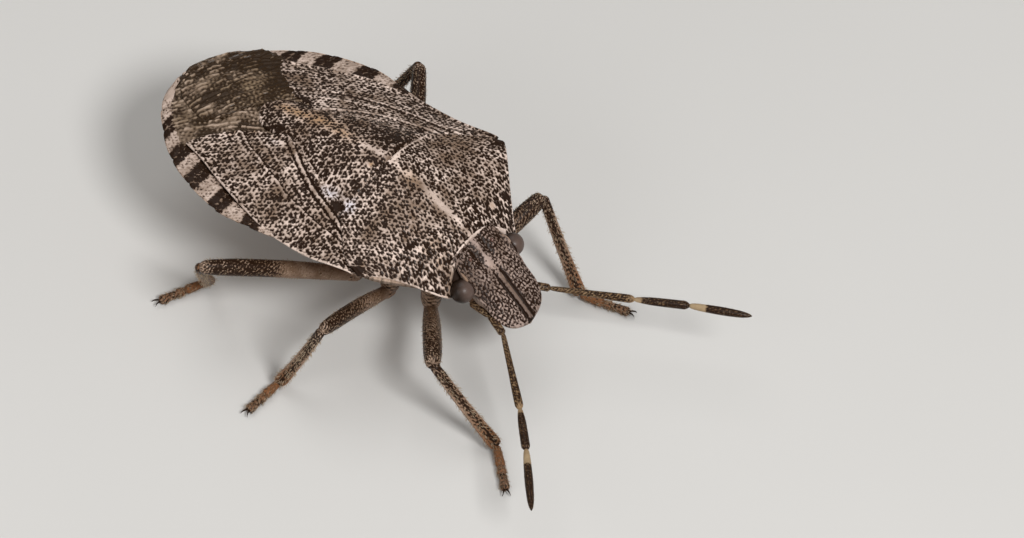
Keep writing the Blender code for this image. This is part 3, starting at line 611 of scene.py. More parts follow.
def ring_of_body(y):
    """One ring of the body skin: hidden top, banded rim, edge and belly, from left round to right."""
    half = float(curve(HALF_WIDTH, y))
    edge_height = float(curve(SIDE_EDGE, y))
    shown = float(smooth(-0.25, 0.35, y))
    nearest = min(abs(y - s) for s in SUTURES)
    after = [s for s in SUTURES if s > y]
    before = [s for s in SUTURES if s <= y]
    tooth = (y - before[-1]) / (after[0] - before[-1]) if before and after else 0.0
    notch = shown * bell(nearest, 0.05)
    edge = half - 0.34 * (1 - shown) + shown * (0.035 * tooth - 0.02) - 0.045 * notch
    rim_in = min(float(curve(WING_RIM, y)) - 0.12, edge - 0.1)
    rim_z = edge_height - 0.2 * (1 - shown)
    out = np.linspace(0, 1, 22)
    rim_x = edge + (rim_in - edge) * out
    swell = 0.05 * np.sin(math.pi * np.clip(out * 1.15, 0, 1)) - 0.03 * notch * np.sin(math.pi * out)
    rim = rim_z + shown * (swell + 0.05 * out) + (1 - shown) * (back(rim_x, y) - 0.12 - rim_z) * out
    rim -= 0.02 * (1 - np.minimum(out * 22 / 2, 1))
    hidden_x = rim_in * np.linspace(0.96, -0.96, 11)
    hidden = np.minimum(back(hidden_x, y) - 0.2, rim[-1] + 0.5 * (1 - np.abs(hidden_x) / max(rim_in, 0.1)))
    low_u = np.sin(np.linspace(-1, 1, 97) * math.pi / 2)[1:-1]
    low_x = (edge - 0.005) * low_u
    low = belly(low_x * half / max(edge, 0.1), y)
    xs = np.concatenate((rim_x, hidden_x, -rim_x[::-1], low_x))
    zs = np.concatenate((rim, hidden, rim[::-1], low))
    part = np.concatenate((out, np.full(11, 2.0), out[::-1], np.full(95, -1.0)))
    return xs, zs, part


def shape_belly(z, x, y, below, pleura, spiracle):
    """Raise the underside's seams, side plates, hips and breathing holes, and sink its scent glands.

    It changes z in place.
    """
    near = np.min([np.abs(y + 0.25 * bell(x, 1.5) - s) for s in SUTURES], axis=0)
    seam = bell(near, 0.035) * below * smooth(0.0, 0.4, y)
    z += 0.035 * seam + 0.05 * pleura * below * (y < 0) * smooth(0.6, 1.2, np.abs(x))
    for (hip_x, hip_y), *_ in LEGS.values():
        from_hip = np.hypot(x - hip_x, y - hip_y)
        z -= 0.16 * bell(from_hip, 0.4) * below
        z += 0.1 * bell(from_hip - 0.52, 0.07) * below
    z -= 0.06 * bell(np.hypot((np.abs(x) - 2.3) / 0.35, (y + 1.75) / 0.12), 1.0) * below
    z += 0.04 * spiracle * below


def rim_marks(x, y, out, band, spots):
    """Darkness and tone of the banded rim: black across each suture, pale with few spots between."""
    reach = 0.34 - 0.016 * y
    black = 1 - smooth(-0.05, 0.05, band + 0.04 * noise(x, y, 0.15, 6) - reach)
    dark = black * (0.42 + 0.8 * spots) + (1 - black) * (0.7 * spots - 0.06)
    dark += 0.3 * (1 - black) * bell(out - 0.95, 0.12) - 0.25 * black * bell(band, 0.05)
    dark -= bell(np.hypot(x - TIP_SPOT[0], y - TIP_SPOT[1]), 0.22)
    return dark, 0.5 - 0.5 * black + 0.15 * noise(x, y, 0.2, 16)


def make_body(material):
    """One skin for the thorax and the abdomen, with the banded rim and the plates of the belly."""
    rings, parts = [], []
    for y in np.arange(-5.0, 6.86, 0.04):
        xs, zs, part = ring_of_body(y)
        rings.append(stack(xs, np.full(len(xs), y), zs))
        parts.append(part)
    rings, parts = np.array(rings), np.array(parts)
    x, y, z = rings[..., 0], rings[..., 1], rings[..., 2]
    below = parts < -0.5
    on_rim = (parts >= 0) & (parts < 1.5) & (y > -0.2)
    half = curve(HALF_WIDTH, y)
    pleura = sum(bell(y - place - 0.12 * np.abs(x), 0.04) for place in (-3.55, -2.15, -0.75))
    spiracle = sum(bell(np.hypot(np.abs(x) - 0.78 * half, y - s + 0.5), 0.06) for s in SUTURES[2:])
    shape_belly(z, x, y, below, pleura, spiracle)
    band = np.min([np.abs(y - s) for s in SUTURES[:-1]], axis=0)
    spots = punctures(x, y, RIM_PERIOD, 5)
    grains = punctures(x, y, BELLY_PERIOD, 15)
    rim_dark, rim_tone = rim_marks(x, y, parts, band, spots)
    low_dark = 0.62 * grains + 0.8 * spiracle + 0.4 * pleura * (y < 0)
    low_dark += 0.5 * (1 - smooth(0.2, 0.3, band)) * smooth(0.9, 0.97, np.abs(x) / half) * (y > 0)
    low_tone = 0.45 + 0.2 * noise(x, y, 0.6, 17)
    marks = stack(np.clip(np.where(on_rim, rim_dark, low_dark), 0, 1.4), np.where(on_rim, rim_tone, low_tone),
                  np.where(on_rim, 0.53, 0.68))
    # Painted shade on the neck, where it lies in the gap behind the head and under the collar.
    marks[y < -4.7] = NECK_SHADE_MARKS
    z -= 0.025 * np.where(on_rim, smooth(0.4, 0.9, spots), 0.0)
    z += 0.012 * np.clip(grains, 0, 1) * below
    piece = Piece()
    piece.tube(stack(x, y, z), marks)
    piece.finish("skin_body", material, ("abdomen", "thorax"))


def head_top(y):
    """Height of the head's flat top along its middle."""
    return 0.43 + HEAD_SLOPE * (y + 4.56)


def head_grid():
    """Rings round the head: their Y, the share of its half-width (-1 to 1), and what is on top."""
    apex = HEAD_WIDTH[0][0]
    stations = apex + (HEAD_END - apex) * np.linspace(0, 1, HEAD_ROWS) ** 1.4
    spread = math.pi / 2 * 0.97
    u_top = np.sin(np.linspace(1, -1, HEAD_COLUMNS) * spread) / math.sin(spread)
    u_low = np.sin(np.linspace(-1, 1, 61) * math.pi / 2)[1:-1]
    y, u = np.meshgrid(stations, np.concatenate((u_top, u_low)), indexing="ij")
    upper = np.zeros(y.shape, bool)
    upper[:, :HEAD_COLUMNS] = True
    return y, u, upper


def head_relief(x, y, u, rim, strip, by_eye):
    """Height of the head's upper side, without its punctures."""
    on_strip, from_strip, groove = strip
    side = np.abs(x)
    z = head_top(y) - 0.12 * np.abs(u) ** 3
    # The strip, its grooves and the broad lobes beside it.
    z += 0.02 * on_strip * (1 - smooth(-0.03, 0.0, from_strip)) - 0.08 * groove
    z += 0.05 * bell((side - 0.55) / 0.4, 1.0) * (1 - smooth(-5.6, -5.2, y))
    # The bump behind the strip, the low ridge that follows it, and the hollows beside that.
    z += 0.05 * bell(np.hypot((x + 0.04) / 0.1, (y + 5.3) / 0.12), 1.0)
    z += 0.02 * bell(x + 0.02, 0.09) * smooth(-5.3, -5.1, y)
    z -= 0.06 * bell(side - 0.27, 0.09) * smooth(-5.5, -5.1, y)
    # The raised margin by each eye, the seats of the simple eyes, and the thin turned-up edge.
    z += 0.12 * bell(side - 1.08, 0.09) * by_eye - 0.03 * bell(side - 0.9, 0.08) * by_eye
    z += 0.04 * bell(np.hypot(side - OCELLUS[0], y - OCELLUS[1]), 0.1)
    z += 0.015 * noise(x, y, 0.3, 61)
    z += 0.02 * bell(rim - 0.03, 0.03) * (1 - smooth(-5.9, -5.6, y))
    return z


def head_marks(x, y, rim, strip, by_eye):
    """Pattern of the head's upper side: pale dots, bare margins and midline, and the smooth strip."""
    on_strip, from_strip, groove = strip
    bare = 0.9 * bell(rim - 0.02, 0.035) * by_eye
    ragged = 0.055 + 0.05 * noise(x, y, 0.07, 64)
    bare = np.maximum(bare, 0.9 * bell(x + 0.02, ragged) * smooth(-5.45, -5.3, y))
    bare = np.maximum(bare, 0.5 * bell(rim - 0.02, 0.02) * (1 - smooth(-5.7, -5.6, y)))
    marks = pattern(x, y, HEAD_PERIOD, 77, np.clip(bare, 0, 1), 1.1 * groove, PALE_DOTS)
    marks[..., 0] -= 0.05
    inside = on_strip * (1 - smooth(-0.02, 0.015, from_strip))
    marks[..., 0] += inside * (0.32 + 0.22 * noise(x, y, 0.06, 62) - marks[..., 0])
    marks[..., 1] += inside * (0.05 + 0.2 * noise(x, y, 0.3, 63) - marks[..., 1])
    marks[..., 2] += 0.03 + 0.15 * bell(rim - 0.02, 0.04) * by_eye
    return marks


def head_underside(x, y, u):
    """Height of the head's lower side, with the two ridges that hold the beak."""
    side = np.abs(x)
    margin = head_top(y) - 0.12
    bottom = np.minimum(curve(HEAD_BOTTOM, y), margin - 0.16)
    low = margin - (margin - bottom) * (1 - np.abs(u) ** 2.2) ** 0.9
    buccula = bell(side - 0.22, 0.06) * smooth(-6.9, -6.6, y) * (1 - smooth(-5.3, -5.0, y))
    low -= 0.16 * buccula + 0.1 * bell(np.hypot(side - 0.86, y + 5.5), 0.22)
    return low


def make_head(material):
    """A flat spade of a head: broad side lobes, a smooth middle strip between two dark grooves."""
    y, u, upper = head_grid()
    half = curve(HEAD_WIDTH, y)
    x = half * u
    rim = half - np.abs(x)
    on_strip = 1 - smooth(-5.75, -5.5, y)
    from_strip = np.abs(x - STRIP_SHIFT) - (STRIP_HALF + 0.02 * smooth(-6.9, -5.8, y))
    strip = on_strip, from_strip, bell(from_strip - 0.055, 0.045) * on_strip
    by_eye = bell(y - EYE_PLACE[1], 0.33) ** 2
    marks = head_marks(x, y, rim, strip, by_eye)
    z = head_relief(x, y, u, rim, strip, by_eye) - pits(marks)
    z = np.where(upper, z, head_underside(x, y, u))
    under = stack(0.6 * punctures(x, y, 0.13, 33), 0.5 + 0 * x, 0.6 + 0 * x)
    piece = Piece()
    piece.tube(stack(x, y, z), np.where(upper[..., None], marks, under))
    piece.finish("skin_head", material, ("head",))


def ball(centre, radius, rows=40, turns=56):
    """Rings of a ball whose poles lie along X."""
    a = np.linspace(0.02, math.pi - 0.02, rows)[:, None]
    b = np.linspace(0, math.tau, turns, endpoint=False)[None, :]
    return np.array(centre) + radius * stack(-np.cos(a) + 0 * b, np.sin(a) * np.cos(b), np.sin(a) * np.sin(b))


def make_eye(name, side, material):
    """One compound eye, with a sheen painted on the side towards the light."""
    x, y, z = EYE_PLACE
    middle = (side * x, y, z)
    rings = ball(middle, EYE_RADIUS)
    # Painted sheen: the tone rises on the side of the eye that faces the light.
    tones = smooth(-0.1, 1.0, (rings - middle) @ np.array(EYE_SHEEN) / EYE_RADIUS)
    eye = Piece()
    eye.tube(rings, stack(0 * tones, tones, 0.5 + 0 * tones))
    eye.finish("ball_eye_" + name, material, ("eye_" + name,))


def make_socket(name, side, material):
    """The ring of shell that an eye sits in."""
    x, y, z = EYE_PLACE
    turn = np.linspace(0, math.tau, 48, endpoint=False)[None, :]
    tube = np.linspace(0, math.tau, 14, endpoint=False)[:, None]
    away = SOCKET_RADIUS + SOCKET_THICKNESS * np.cos(tube)
    rows = stack(side * (x - 0.2) + side * SOCKET_THICKNESS * np.sin(tube) + 0 * turn,
                 y + away * np.cos(turn), z + away * np.sin(turn))
    index = np.arange(14 * 48).reshape(14, 48)
    closed = np.concatenate((index, index[:1]))
    closed = np.concatenate((closed, closed[:, :1]), axis=1)
    ring = Piece()
    ring.add(rows, quads(closed), np.array(SOCKET_MARKS))
    ring.finish("socket_" + name, material)


def make_simple_eye(name, side, material):
    """One of the two small simple eyes behind the head's middle."""
    top = float(head_top(OCELLUS[1])) + 0.01
    simple = Piece()
    simple.tube(ball((side * OCELLUS[0], OCELLUS[1], top), OCELLUS_RADIUS, 16, 24), np.array(LENS_MARKS))
    simple.finish("simple_eye_" + name, material)


def unit(vector):
    """The vector at length one."""
    return vector / np.linalg.norm(vector, axis=-1, keepdims=True)


def length_of_limb(start, end, profile, sides, step, flat=1.0, keels=0.0, bow=0.0, low=None):
    """Rings of one limb length, with its centres and heading; keels raises three edges along it."""
    start, end = np.array(start, float), np.array(end, float)
    total = np.linalg.norm(end - start)
    s = np.linspace(0, 1, max(int(total / step), 14))
    s = s - 0.012 * np.sin(math.tau * s)
    ahead = (end - start) / total
    beside = unit(np.cross(ahead, (0.0, 0.0, 1.0)))
    above = np.cross(beside, ahead)
    centres = start + (end - start) * s[:, None] + bow * np.sin(math.pi * s)[:, None] * above
    angle = np.linspace(0, math.tau, sides, endpoint=False)
    radius = curve(profile, s)[:, None] * (1 + keels * np.cos(3 * angle) * smooth(0.05, 0.15, s)[:, None])
    points = centres[:, None] + (radius * np.cos(angle))[..., None] * beside
    points = points + (radius * flat * np.sin(angle))[..., None] * above
    if low is not None:
        points[..., 2] = np.maximum(points[..., 2], low)
    return {"rings": points, "centres": centres, "ahead": ahead, "s": s * total, "angle": angle,
            "radius": radius, "f": s}


def limb_marks(limb, spacing, dark, tone, tint, seed, stretch=1.0):
    """Dots round a limb, longer along it where stretch is more than one; lists change along it."""
    along = limb["s"][:, None] / stretch + 0 * limb["angle"]
    round_it = limb["angle"][None, :] * np.mean(limb["radius"]) + 0 * along
    spots = punctures(along, round_it, spacing, seed, LIMB_DOTS)
    f = limb["f"][:, None] + 0 * limb["angle"]
    dark, tone, tint = (curve(v, f) if isinstance(v, list) else v + 0 * f for v in (dark, tone, tint))
    tone = tone + 0.15 * noise(along, round_it, 0.3, seed)
    return stack(np.clip(spots * dark, 0, 1.3), tone, tint)


def sprout(limb, count, length, lean, rng, low=0.05, high=0.97):
    """Roots, directions and lengths of hairs that lean along a limb."""
    rows = rng.integers(int(low * len(limb["s"])), max(int(high * len(limb["s"])), 2), count)
    cols = rng.integers(0, len(limb["angle"]), count)
    roots = limb["rings"][rows, cols]
    out = unit(roots - limb["centres"][rows])
    shaken = 0.25 * rng.normal(size=(count, 3))
    heading = unit(out * math.cos(lean) + limb["ahead"] * math.sin(lean) + shaken)
    sizes = length * (0.6 + 0.7 * rng.random(count))
    spot = stack(limb["f"][rows], cols / len(limb["angle"]))
    return roots - 0.012 * out, heading, sizes, out, spot


COXA = [(0, 0.33), (0.5, 0.33), (0.85, 0.27), (1, 0.1)]
TROCHANTER = [(0, 0.14), (0.3, 0.22), (0.8, 0.225), (1, 0.19)]
FEMUR = [(0, 0.19), (0.03, 0.215), (0.1, 0.225), (0.2, 0.24), (0.5, 0.26), (0.75, 0.26), (0.9, 0.235),
         (0.96, 0.21), (0.99, 0.15), (1, 0.06)]
FEMUR_DARK = {"fore": [(0, 0.8), (0.4, 0.9), (0.7, 1.15), (0.9, 1.3), (1, 0.9)],
              "mid": [(0, 0.5), (0.3, 0.7), (0.6, 1.15), (0.9, 1.4), (1, 0.9)],
              "hind": [(0, 0.4), (0.42, 0.5), (0.55, 1.2), (0.7, 1.6), (0.9, 1.6), (0.96, 1.1), (1, 0.8)]}
FEMUR_TONE = [(0, 0.2), (0.4, 0.3), (0.8, 0.5), (1, 0.85)]
FEMUR_TINT = [(0, 0.6), (0.6, 0.54)]
TIBIA = [(0, 0.06), (0.015, 0.12), (0.04, 0.155), (0.1, 0.155), (0.3, 0.16), (0.75, 0.185), (0.92, 0.205),
         (0.98, 0.185), (1, 0.06)]
TIBIA_DARK = [(0, 1.3), (0.25, 1.2), (0.5, 0.9), (0.9, 0.85)]
TIBIA_TONE = [(0, 0.8), (0.3, 0.5), (0.6, 0.4), (1, 0.15)]
TIBIA_TINT = [(0, 0.54), (0.4, 0.62), (0.65, 0.7), (0.82, 0.88), (1, 0.95)]
HIND_TIBIA_TONE = [(0, 0.1), (0.5, 0.0), (1, 0.1)]
HIND_TIBIA_TINT = [(0, 0.8), (0.4, 0.95), (1, 0.95)]
TARSOMERE = [(0, 0.05), (0.08, 0.11), (0.5, 0.135), (0.85, 0.15), (0.96, 0.12), (1, 0.05)]
# The foot's three lengths, as (start, end, darkness, tint).
FOOT = [(0.0, 0.48, 0.6, 1.0), (0.46, 0.64, 0.7, 0.9), (0.62, 1.0, 0.9, 0.8)]
# The feeler's five lengths, from the head outwards.
FEELER = [
    {"profile": [(0, 0.05), (0.1, 0.117), (0.6, 0.13), (0.9, 0.13), (1, 0.05)],
     "dark": 0.9, "tone": [(0, 0.25), (1, 0.2)], "tint": [(0, 0.66), (1, 0.6)], "hairs": 40},
    {"profile": [(0, 0.05), (0.1, 0.1125), (0.6, 0.125), (0.9, 0.125), (1, 0.05)],
     "dark": 1.0, "tone": [(0, 0.3), (1, 0.2)], "tint": [(0, 0.66), (1, 0.6)], "hairs": 60},
    {"profile": [(0, 0.05), (0.04, 0.075), (0.5, 0.105), (0.93, 0.13125), (0.98, 0.09), (1, 0.04)],
     "dark": [(0, 0.9), (0.9, 1.1), (1, 0.2)], "tone": [(0, 0.3), (0.9, 0.2), (1, 0.5)],
     "tint": [(0, 0.66), (1, 0.8)], "hairs": 220},
    {"profile": [(0, 0.05), (0.05, 0.08), (0.4, 0.13), (0.9, 0.1365), (0.97, 0.09), (1, 0.04)],
     "dark": [(0, 0.1), (0.1, 0.3), (0.16, 1.4), (1, 1.5)],
     "tone": [(0, 0.6), (0.13, 0.4), (0.2, 0.02), (1, 0.0)], "tint": [(0, 0.66), (1, 0.6)], "hairs": 260},
    {"profile": [(0, 0.05), (0.04, 0.085), (0.2, 0.115), (0.5, 0.132), (0.8, 0.11), (0.95, 0.06), (1, 0.015)],
     "dark": [(0, 0.0), (0.24, 0.1), (0.3, 1.5), (1, 1.6)],
     "tone": [(0, 0.7), (0.24, 0.6), (0.3, 0.0), (1, 0.0)], "tint": [(0, 0.66), (1, 0.6)], "hairs": 320},
]
# The beak's joints along the underside, as (y, z), and the thickness of each length.
BEAK = [(-6.35, -1.88), (-5.4, -2.15), (-4.1, -2.22), (-3.1, -2.25), (-2.35, -2.26)]
BEAK_THICKNESS = (0.16, 0.13, 0.11, 0.08)
LEG_HAIR = 0.008
FEELER_HAIR = 0.004


def make_tibia(piece, knee, ankle, girth, hind):
    """The shin, with pale lines along its three keels and dark ones between them."""
    slim = 0.85 + 0.15 * girth
    tibia = length_of_limb(knee, ankle, [(f, r * slim) for f, r in TIBIA], 36, 0.035, keels=0.1, bow=-0.04)
    tone = HIND_TIBIA_TONE if hind else TIBIA_TONE
    tint = HIND_TIBIA_TINT if hind else TIBIA_TINT
    marks = limb_marks(tibia, 0.09, TIBIA_DARK, tone, tint, 6, 1.6)
    keel = np.cos(3 * tibia["angle"])[None, :] * smooth(0.08, 0.2, tibia["f"])[:, None]
    pale = smooth(0.6, 1.0, keel) * (0.3 if hind else 1.0)
    marks[..., 0] = np.clip(marks[..., 0] - 0.45 * pale + 0.25 * smooth(0.5, 1.0, -keel), 0, 1.3)
    marks[..., 1] += 0.3 * pale
    piece.tube(tibia["rings"], marks)
    return tibia


def make_claws(piece, toe, ahead):
    """Two bent claws that part from the toe and reach down to the floor."""
    beside = unit(np.cross(ahead, (0, 0, 1.0)))
    bend = np.linspace(0, 1, 7)[:, None]
    radii = np.linspace(0.04, 0.008, 7)
    around = np.linspace(0, math.tau, 8, endpoint=False)
    for turn in (-1, 1):
        path = toe - ahead * 0.03 + ahead * 0.24 * np.sin(bend * 1.4) + beside * turn * (0.03 + 0.1 * bend)
        path = path + np.array((0, 0, 1)) * (0.06 * np.sin(bend * 2.6) - (TOE_HEIGHT - 0.05) * bend ** 2)
        rings = path[:, None] + (radii[:, None] * np.cos(around))[..., None] * beside
        rings = rings + (radii[:, None] * np.sin(around))[..., None] * np.array((0, 0, 1.0))
        rings[..., 2] = np.maximum(rings[..., 2], FLOOR + CLEAR)
        piece.tube(rings, np.array(CLAW_MARKS))


def make_leg(name, places, material, hairs, rng):
    """One leg, from the coxa to its two claws."""
    (hip_x, hip_y), knee, (ankle_x, ankle_y), (toe_x, toe_y), girth = places
    pair = name.split("_")[0]
    piece = Piece()
    hip = np.array((hip_x, hip_y, COXA_END))
    knee = np.array(knee)
    ankle = np.array((ankle_x, ankle_y, FLOOR + ANKLE_HEIGHT))
    toe = np.array((toe_x, toe_y, FLOOR + TOE_HEIGHT))
    root = np.array((hip_x * 1.05, hip_y + 0.001, float(belly(hip_x, hip_y)) + 0.25))
    coxa = length_of_limb(root, hip + (0, 0, 0.02), COXA, 26, 0.04)
    piece.tube(coxa["rings"], limb_marks(coxa, 0.14, 0.8, 0.5, 0.62, 3))
    heading = unit(knee - hip)
    joint = hip + heading * 0.28
    trochanter = length_of_limb(hip - heading * 0.12, joint + heading * 0.1, TROCHANTER, 26, 0.03)
    piece.tube(trochanter["rings"], limb_marks(trochanter, 0.12, 0.7, 0.55, 0.65, 4))
    femur = length_of_limb(joint, knee, [(f, r * girth) for f, r in FEMUR], 40, 0.035, flat=1.1, bow=0.08)
    piece.tube(femur["rings"], limb_marks(femur, 0.1, FEMUR_DARK[pair], FEMUR_TONE, FEMUR_TINT, 5))
    tibia = make_tibia(piece, knee, ankle, girth, pair == "hind")
    feet = []
    for i, (low, high, dark, tint) in enumerate(FOOT):
        a, b = ankle + (toe - ankle) * low, ankle + (toe - ankle) * high
        foot = length_of_limb(a, b, TARSOMERE, 22, 0.03, low=FLOOR + 0.012)
        piece.tube(foot["rings"], limb_marks(foot, 0.09, dark, 0.35, tint, 8 + i, 1.5))
        feet.append(foot)
    make_claws(piece, toe, unit(toe - ankle))
    nodes = [part + "_" + name for part in ("coxa", "femur", "tibia", "tarsus")]
    piece.finish("leg_" + name, material, nodes)
    hairs.append(sprout(femur, 260, 0.12, 0.75, rng, 0.15))
    hairs.append(sprout(tibia, 420, 0.18, 0.65, rng, 0.1))
    for foot in feet:
        hairs.append(sprout(foot, 100, 0.15, 0.8, rng, 0.0, 0.95))


def make_antenna(side, joints, material, hairs, rng):
    """Five lengths: two short and mottled, two slender, and a last one drawn out to a tip."""
    piece = Piece()
    for i, part in enumerate(FEELER):
        start, end = np.array(joints[i]), np.array(joints[i + 1])
        limb = length_of_limb(start, end + unit(end - start) * 0.015, part["profile"], 20, 0.04)
        marks = limb_marks(limb, 0.07, part["dark"], part["tone"], part["tint"], 60 + i, 1.5)
        piece.tube(limb["rings"], marks)
        hairs.append(sprout(limb, part["hairs"], 0.06, 0.8, rng, 0.1))
    nodes = [f"antenna_{side}_{i + 1}" for i in range(len(FEELER))]
    piece.finish("feeler_" + side, material, nodes)


def make_rostrum(material):
    """The beak, folded back along the underside."""
    piece = Piece()
    for i, r in enumerate(BEAK_THICKNESS):
        a, b = np.array((0.0, *BEAK[i])), np.array((0.0, *BEAK[i + 1]))
        profile = [(0, r * 0.5), (0.1, r), (0.9, r * 0.9), (1, r * 0.4)]
        limb = length_of_limb(a, b + (0, 0.03, 0), profile, 18, 0.04)
        piece.tube(limb["rings"], limb_marks(limb, 0.12, 0.3 + 0.2 * i, 0.5 - 0.1 * i, 0.75, 70 + i))
    piece.finish("beak", material, ("rostrum",))


def hair_faces(count):
    """The faces of a number of bent three-sided cones of seven points each."""
    faces = []
    for k in range(3):
        n = (k + 1) % 3
        faces.append((k, n, 3 + n, 3 + k))
        faces.append((3 + k, 3 + n, 6))
    faces.append((2, 1, 0))
    return [[i + 7 * hair for i in face] for hair in range(count) for face in faces]


def give_hairs_uvs(mesh, faces, centres, patch=0.0015):
    """A UV map in which each hair has a small patch of its own."""
    turns = math.tau / 3 * np.array((0, 1, 2, 0, 1, 2))
    corners = np.append(stack(np.cos(turns), np.sin(turns)), [(0, 0)], axis=0)
    uv = (centres[:, None] + patch * corners).reshape(-1, 2)
    loops = np.concatenate(faces)
    layer = mesh.uv_layers.new(name="OFBake")
    layer.data.foreach_set("uv", uv[loops].astype(np.float32).ravel())


def make_hairs(name, groups, material, thickness):
    """All hairs of one kind as a single mesh of bent three-sided cones."""
    roots, heading, sizes, out, spot = (np.concatenate(parts) for parts in zip(*groups))
    sizes = sizes[:, None]
    strip = np.concatenate([np.full(len(g[0]), i / len(groups)) for i, g in enumerate(groups)])
    beside = unit(np.cross(heading, out) + 1e-6)
    above = np.cross(beside, heading)
    droop = heading - 0.35 * out
    middle = roots + heading * sizes * 0.5
    tip = roots + droop * sizes * 0.95 + heading * sizes * 0.05
    points = []
    for centre, width in ((roots, thickness), (middle, thickness * 0.7)):
        for k in range(3):
            a = math.tau * k / 3
            points.append(centre + width * (math.cos(a) * beside + math.sin(a) * above))
    points = np.stack(points + [tip], 1)
    points[..., 2] = np.maximum(points[..., 2], FLOOR + CLEAR)
    faces = hair_faces(len(roots))
    mesh = bpy.data.meshes.new(name)
    mesh.from_pydata((points.reshape(-1, 3) * MM + ORIGIN).tolist(), [], faces)
    mesh.shade_smooth()
    mesh.materials.append(material)
    centres = stack(0.01 + 0.98 * spot[:, 0], 0.01 + 0.98 * (strip + spot[:, 1] / len(groups)))
    give_hairs_uvs(mesh, faces, centres)
    made = put_in_scene(name, mesh)
    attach(made, "root")


class Net:
    """A material's nodes, with short ways to add and join them."""

    def __init__(self, name):
        self.material = bpy.data.materials.new(name)
        self.material.use_nodes = True
        self.tree = self.material.node_tree
        self.shader = self.tree.nodes["Principled BSDF"]

    def node(self, kind, inputs, **settings):
        made = self.tree.nodes.new("ShaderNode" + kind)
        for key, value in settings.items():
            setattr(made, key, value)
        for key, value in inputs.items():
            self.put(made.inputs[key], value)
        return made

    def put(self, socket, value):
        if isinstance(value, bpy.types.NodeSocket):
            self.tree.links.new(value, socket)
        else:
            socket.default_value = value

    def math(self, operation, a, b, clamp=False):
        return self.node("Math", {0: a, 1: b}, operation=operation, use_clamp=clamp).outputs[0]

    def swing(self, value, middle, gain, clamp=False):
        """How far a value is above a middle, times a gain."""
        return self.math("MULTIPLY", self.math("SUBTRACT", value, middle), gain, clamp)

    def mix(self, factor, a, b):
        sides = {0: factor, 6: a if isinstance(a, bpy.types.NodeSocket) else (*a, 1.0),
                 7: b if isinstance(b, bpy.types.NodeSocket) else (*b, 1.0)}
        return self.node("Mix", sides, data_type="RGBA").outputs[2]

    def noise(self, scale, detail=2.0):
        place = self.node("TexCoord", {}).outputs["Object"]
        return self.node("TexNoise", {"Vector": place, "Scale": scale, "Detail": detail}).outputs["Fac"]

    def step(self, value, low, high):
        limits = {0: value, 1: low, 2: high, 3: 0.0, 4: 1.0}
        return self.node("MapRange", limits, interpolation_type="SMOOTHSTEP").outputs[0]

    def bump(self, height):
        made = self.node("Bump", {"Height": height, "Distance": BUMP_DEPTH * MM, "Strength": 0.5})
        self.put(self.shader.inputs["Normal"], made.outputs[0])

    def look(self, **values):
        """Join or set the shader's inputs, named with _ for a space."""
        for key, value in values.items():
            self.put(self.shader.inputs[key.replace("_", " ")], value)


def cuticle(name, pale=PALE, shade=SHADE, dark=BLACK, warm=WARM, soft=0.34, hard=0.6, gloss=0.46):
    """Punctured shell: the marks say where it is dark, how pale its ground is, and how warm; a low tint
    paints a pale bluish sheen.
    """
    net = Net(name)
    marks = net.node("Attribute", {}, attribute_name="marks").outputs["Color"]
    darkness, tone, tint = net.node("SeparateColor", {0: marks}).outputs
    fine = net.noise(30000.0, 3.0)
    cloud = net.noise(2600.0)
    rough_edge = net.math("ADD", darkness, net.swing(fine, 0.5, 0.48))
    black = net.step(rough_edge, soft, hard)
    ring = net.step(rough_edge, soft - 0.16, soft + 0.06)
    level = net.math("ADD", tone, net.swing(cloud, 0.5, 0.9), clamp=True)
    ground = net.mix(level, shade, pale)
    ground = net.mix(net.swing(tint, 0.52, 2.1, clamp=True), ground, warm)
    # Painted sheen: pale bluish where the tint is low.
    ground = net.mix(net.swing(tint, 0.46, -2.2, clamp=True), ground, PAINTED_SHEEN)
    ground = net.mix(net.math("MULTIPLY", net.step(fine, 0.52, 0.7), 0.22), ground, shade)
    ground = net.mix(net.math("MULTIPLY", ring, 0.65), ground, shade)
    rough = net.math("ADD", net.math("MULTIPLY", fine, 0.2), gloss - 0.1)
    rough = net.math("SUBTRACT", rough, net.math("MULTIPLY", black, 0.08))
    net.look(Base_Color=net.mix(black, ground, dark), Roughness=rough, Specular_IOR_Level=0.13)
    net.bump(fine)
    return net.material


def eye_material():
    """Dark glossy facets, with the sheen that the marks' tone paints."""
    net = Net("eye_gloss")
    place = net.node("TexCoord", {}).outputs["Object"]
    facets = net.node("TexVoronoi", {"Vector": place, "Scale": 30000.0}, feature="F1").outputs["Distance"]
    marks = net.node("Attribute", {}, attribute_name="marks").outputs["Color"]
    lit = net.node("SeparateColor", {0: marks}).outputs[1]
    sheen = net.math("ADD", lit, net.swing(net.noise(4000.0, 3.0), 0.5, 0.5), clamp=True)
    rough = net.math("ADD", net.math("MULTIPLY", facets, 0.2), 0.28)
    net.look(Base_Color=net.mix(sheen, *EYE_SHADE_AND_SHEEN), Roughness=rough, Specular_IOR_Level=0.22)
    net.look(Coat_Weight=0.04, Coat_Roughness=0.2)
    net.bump(facets)
    return net.material


def lens_material():
    """The reddish glass of the simple eyes."""
    net = Net("simple_eye_glass")
    cloud = net.noise(9000.0)
    rough = net.math("ADD", net.math("MULTIPLY", cloud, 0.15), 0.1)
    net.look(Base_Color=net.mix(cloud, *LENS_TONES), Roughness=rough, Coat_Weight=0.8)
    return net.material


def two_tone_material(name, tones, scale, roughness):
    """Two like colours in soft clouds: for the bristles and for the floor."""
    net = Net(name)
    net.look(Base_Color=net.mix(net.noise(scale), *tones), Roughness=roughness)
    return net.material


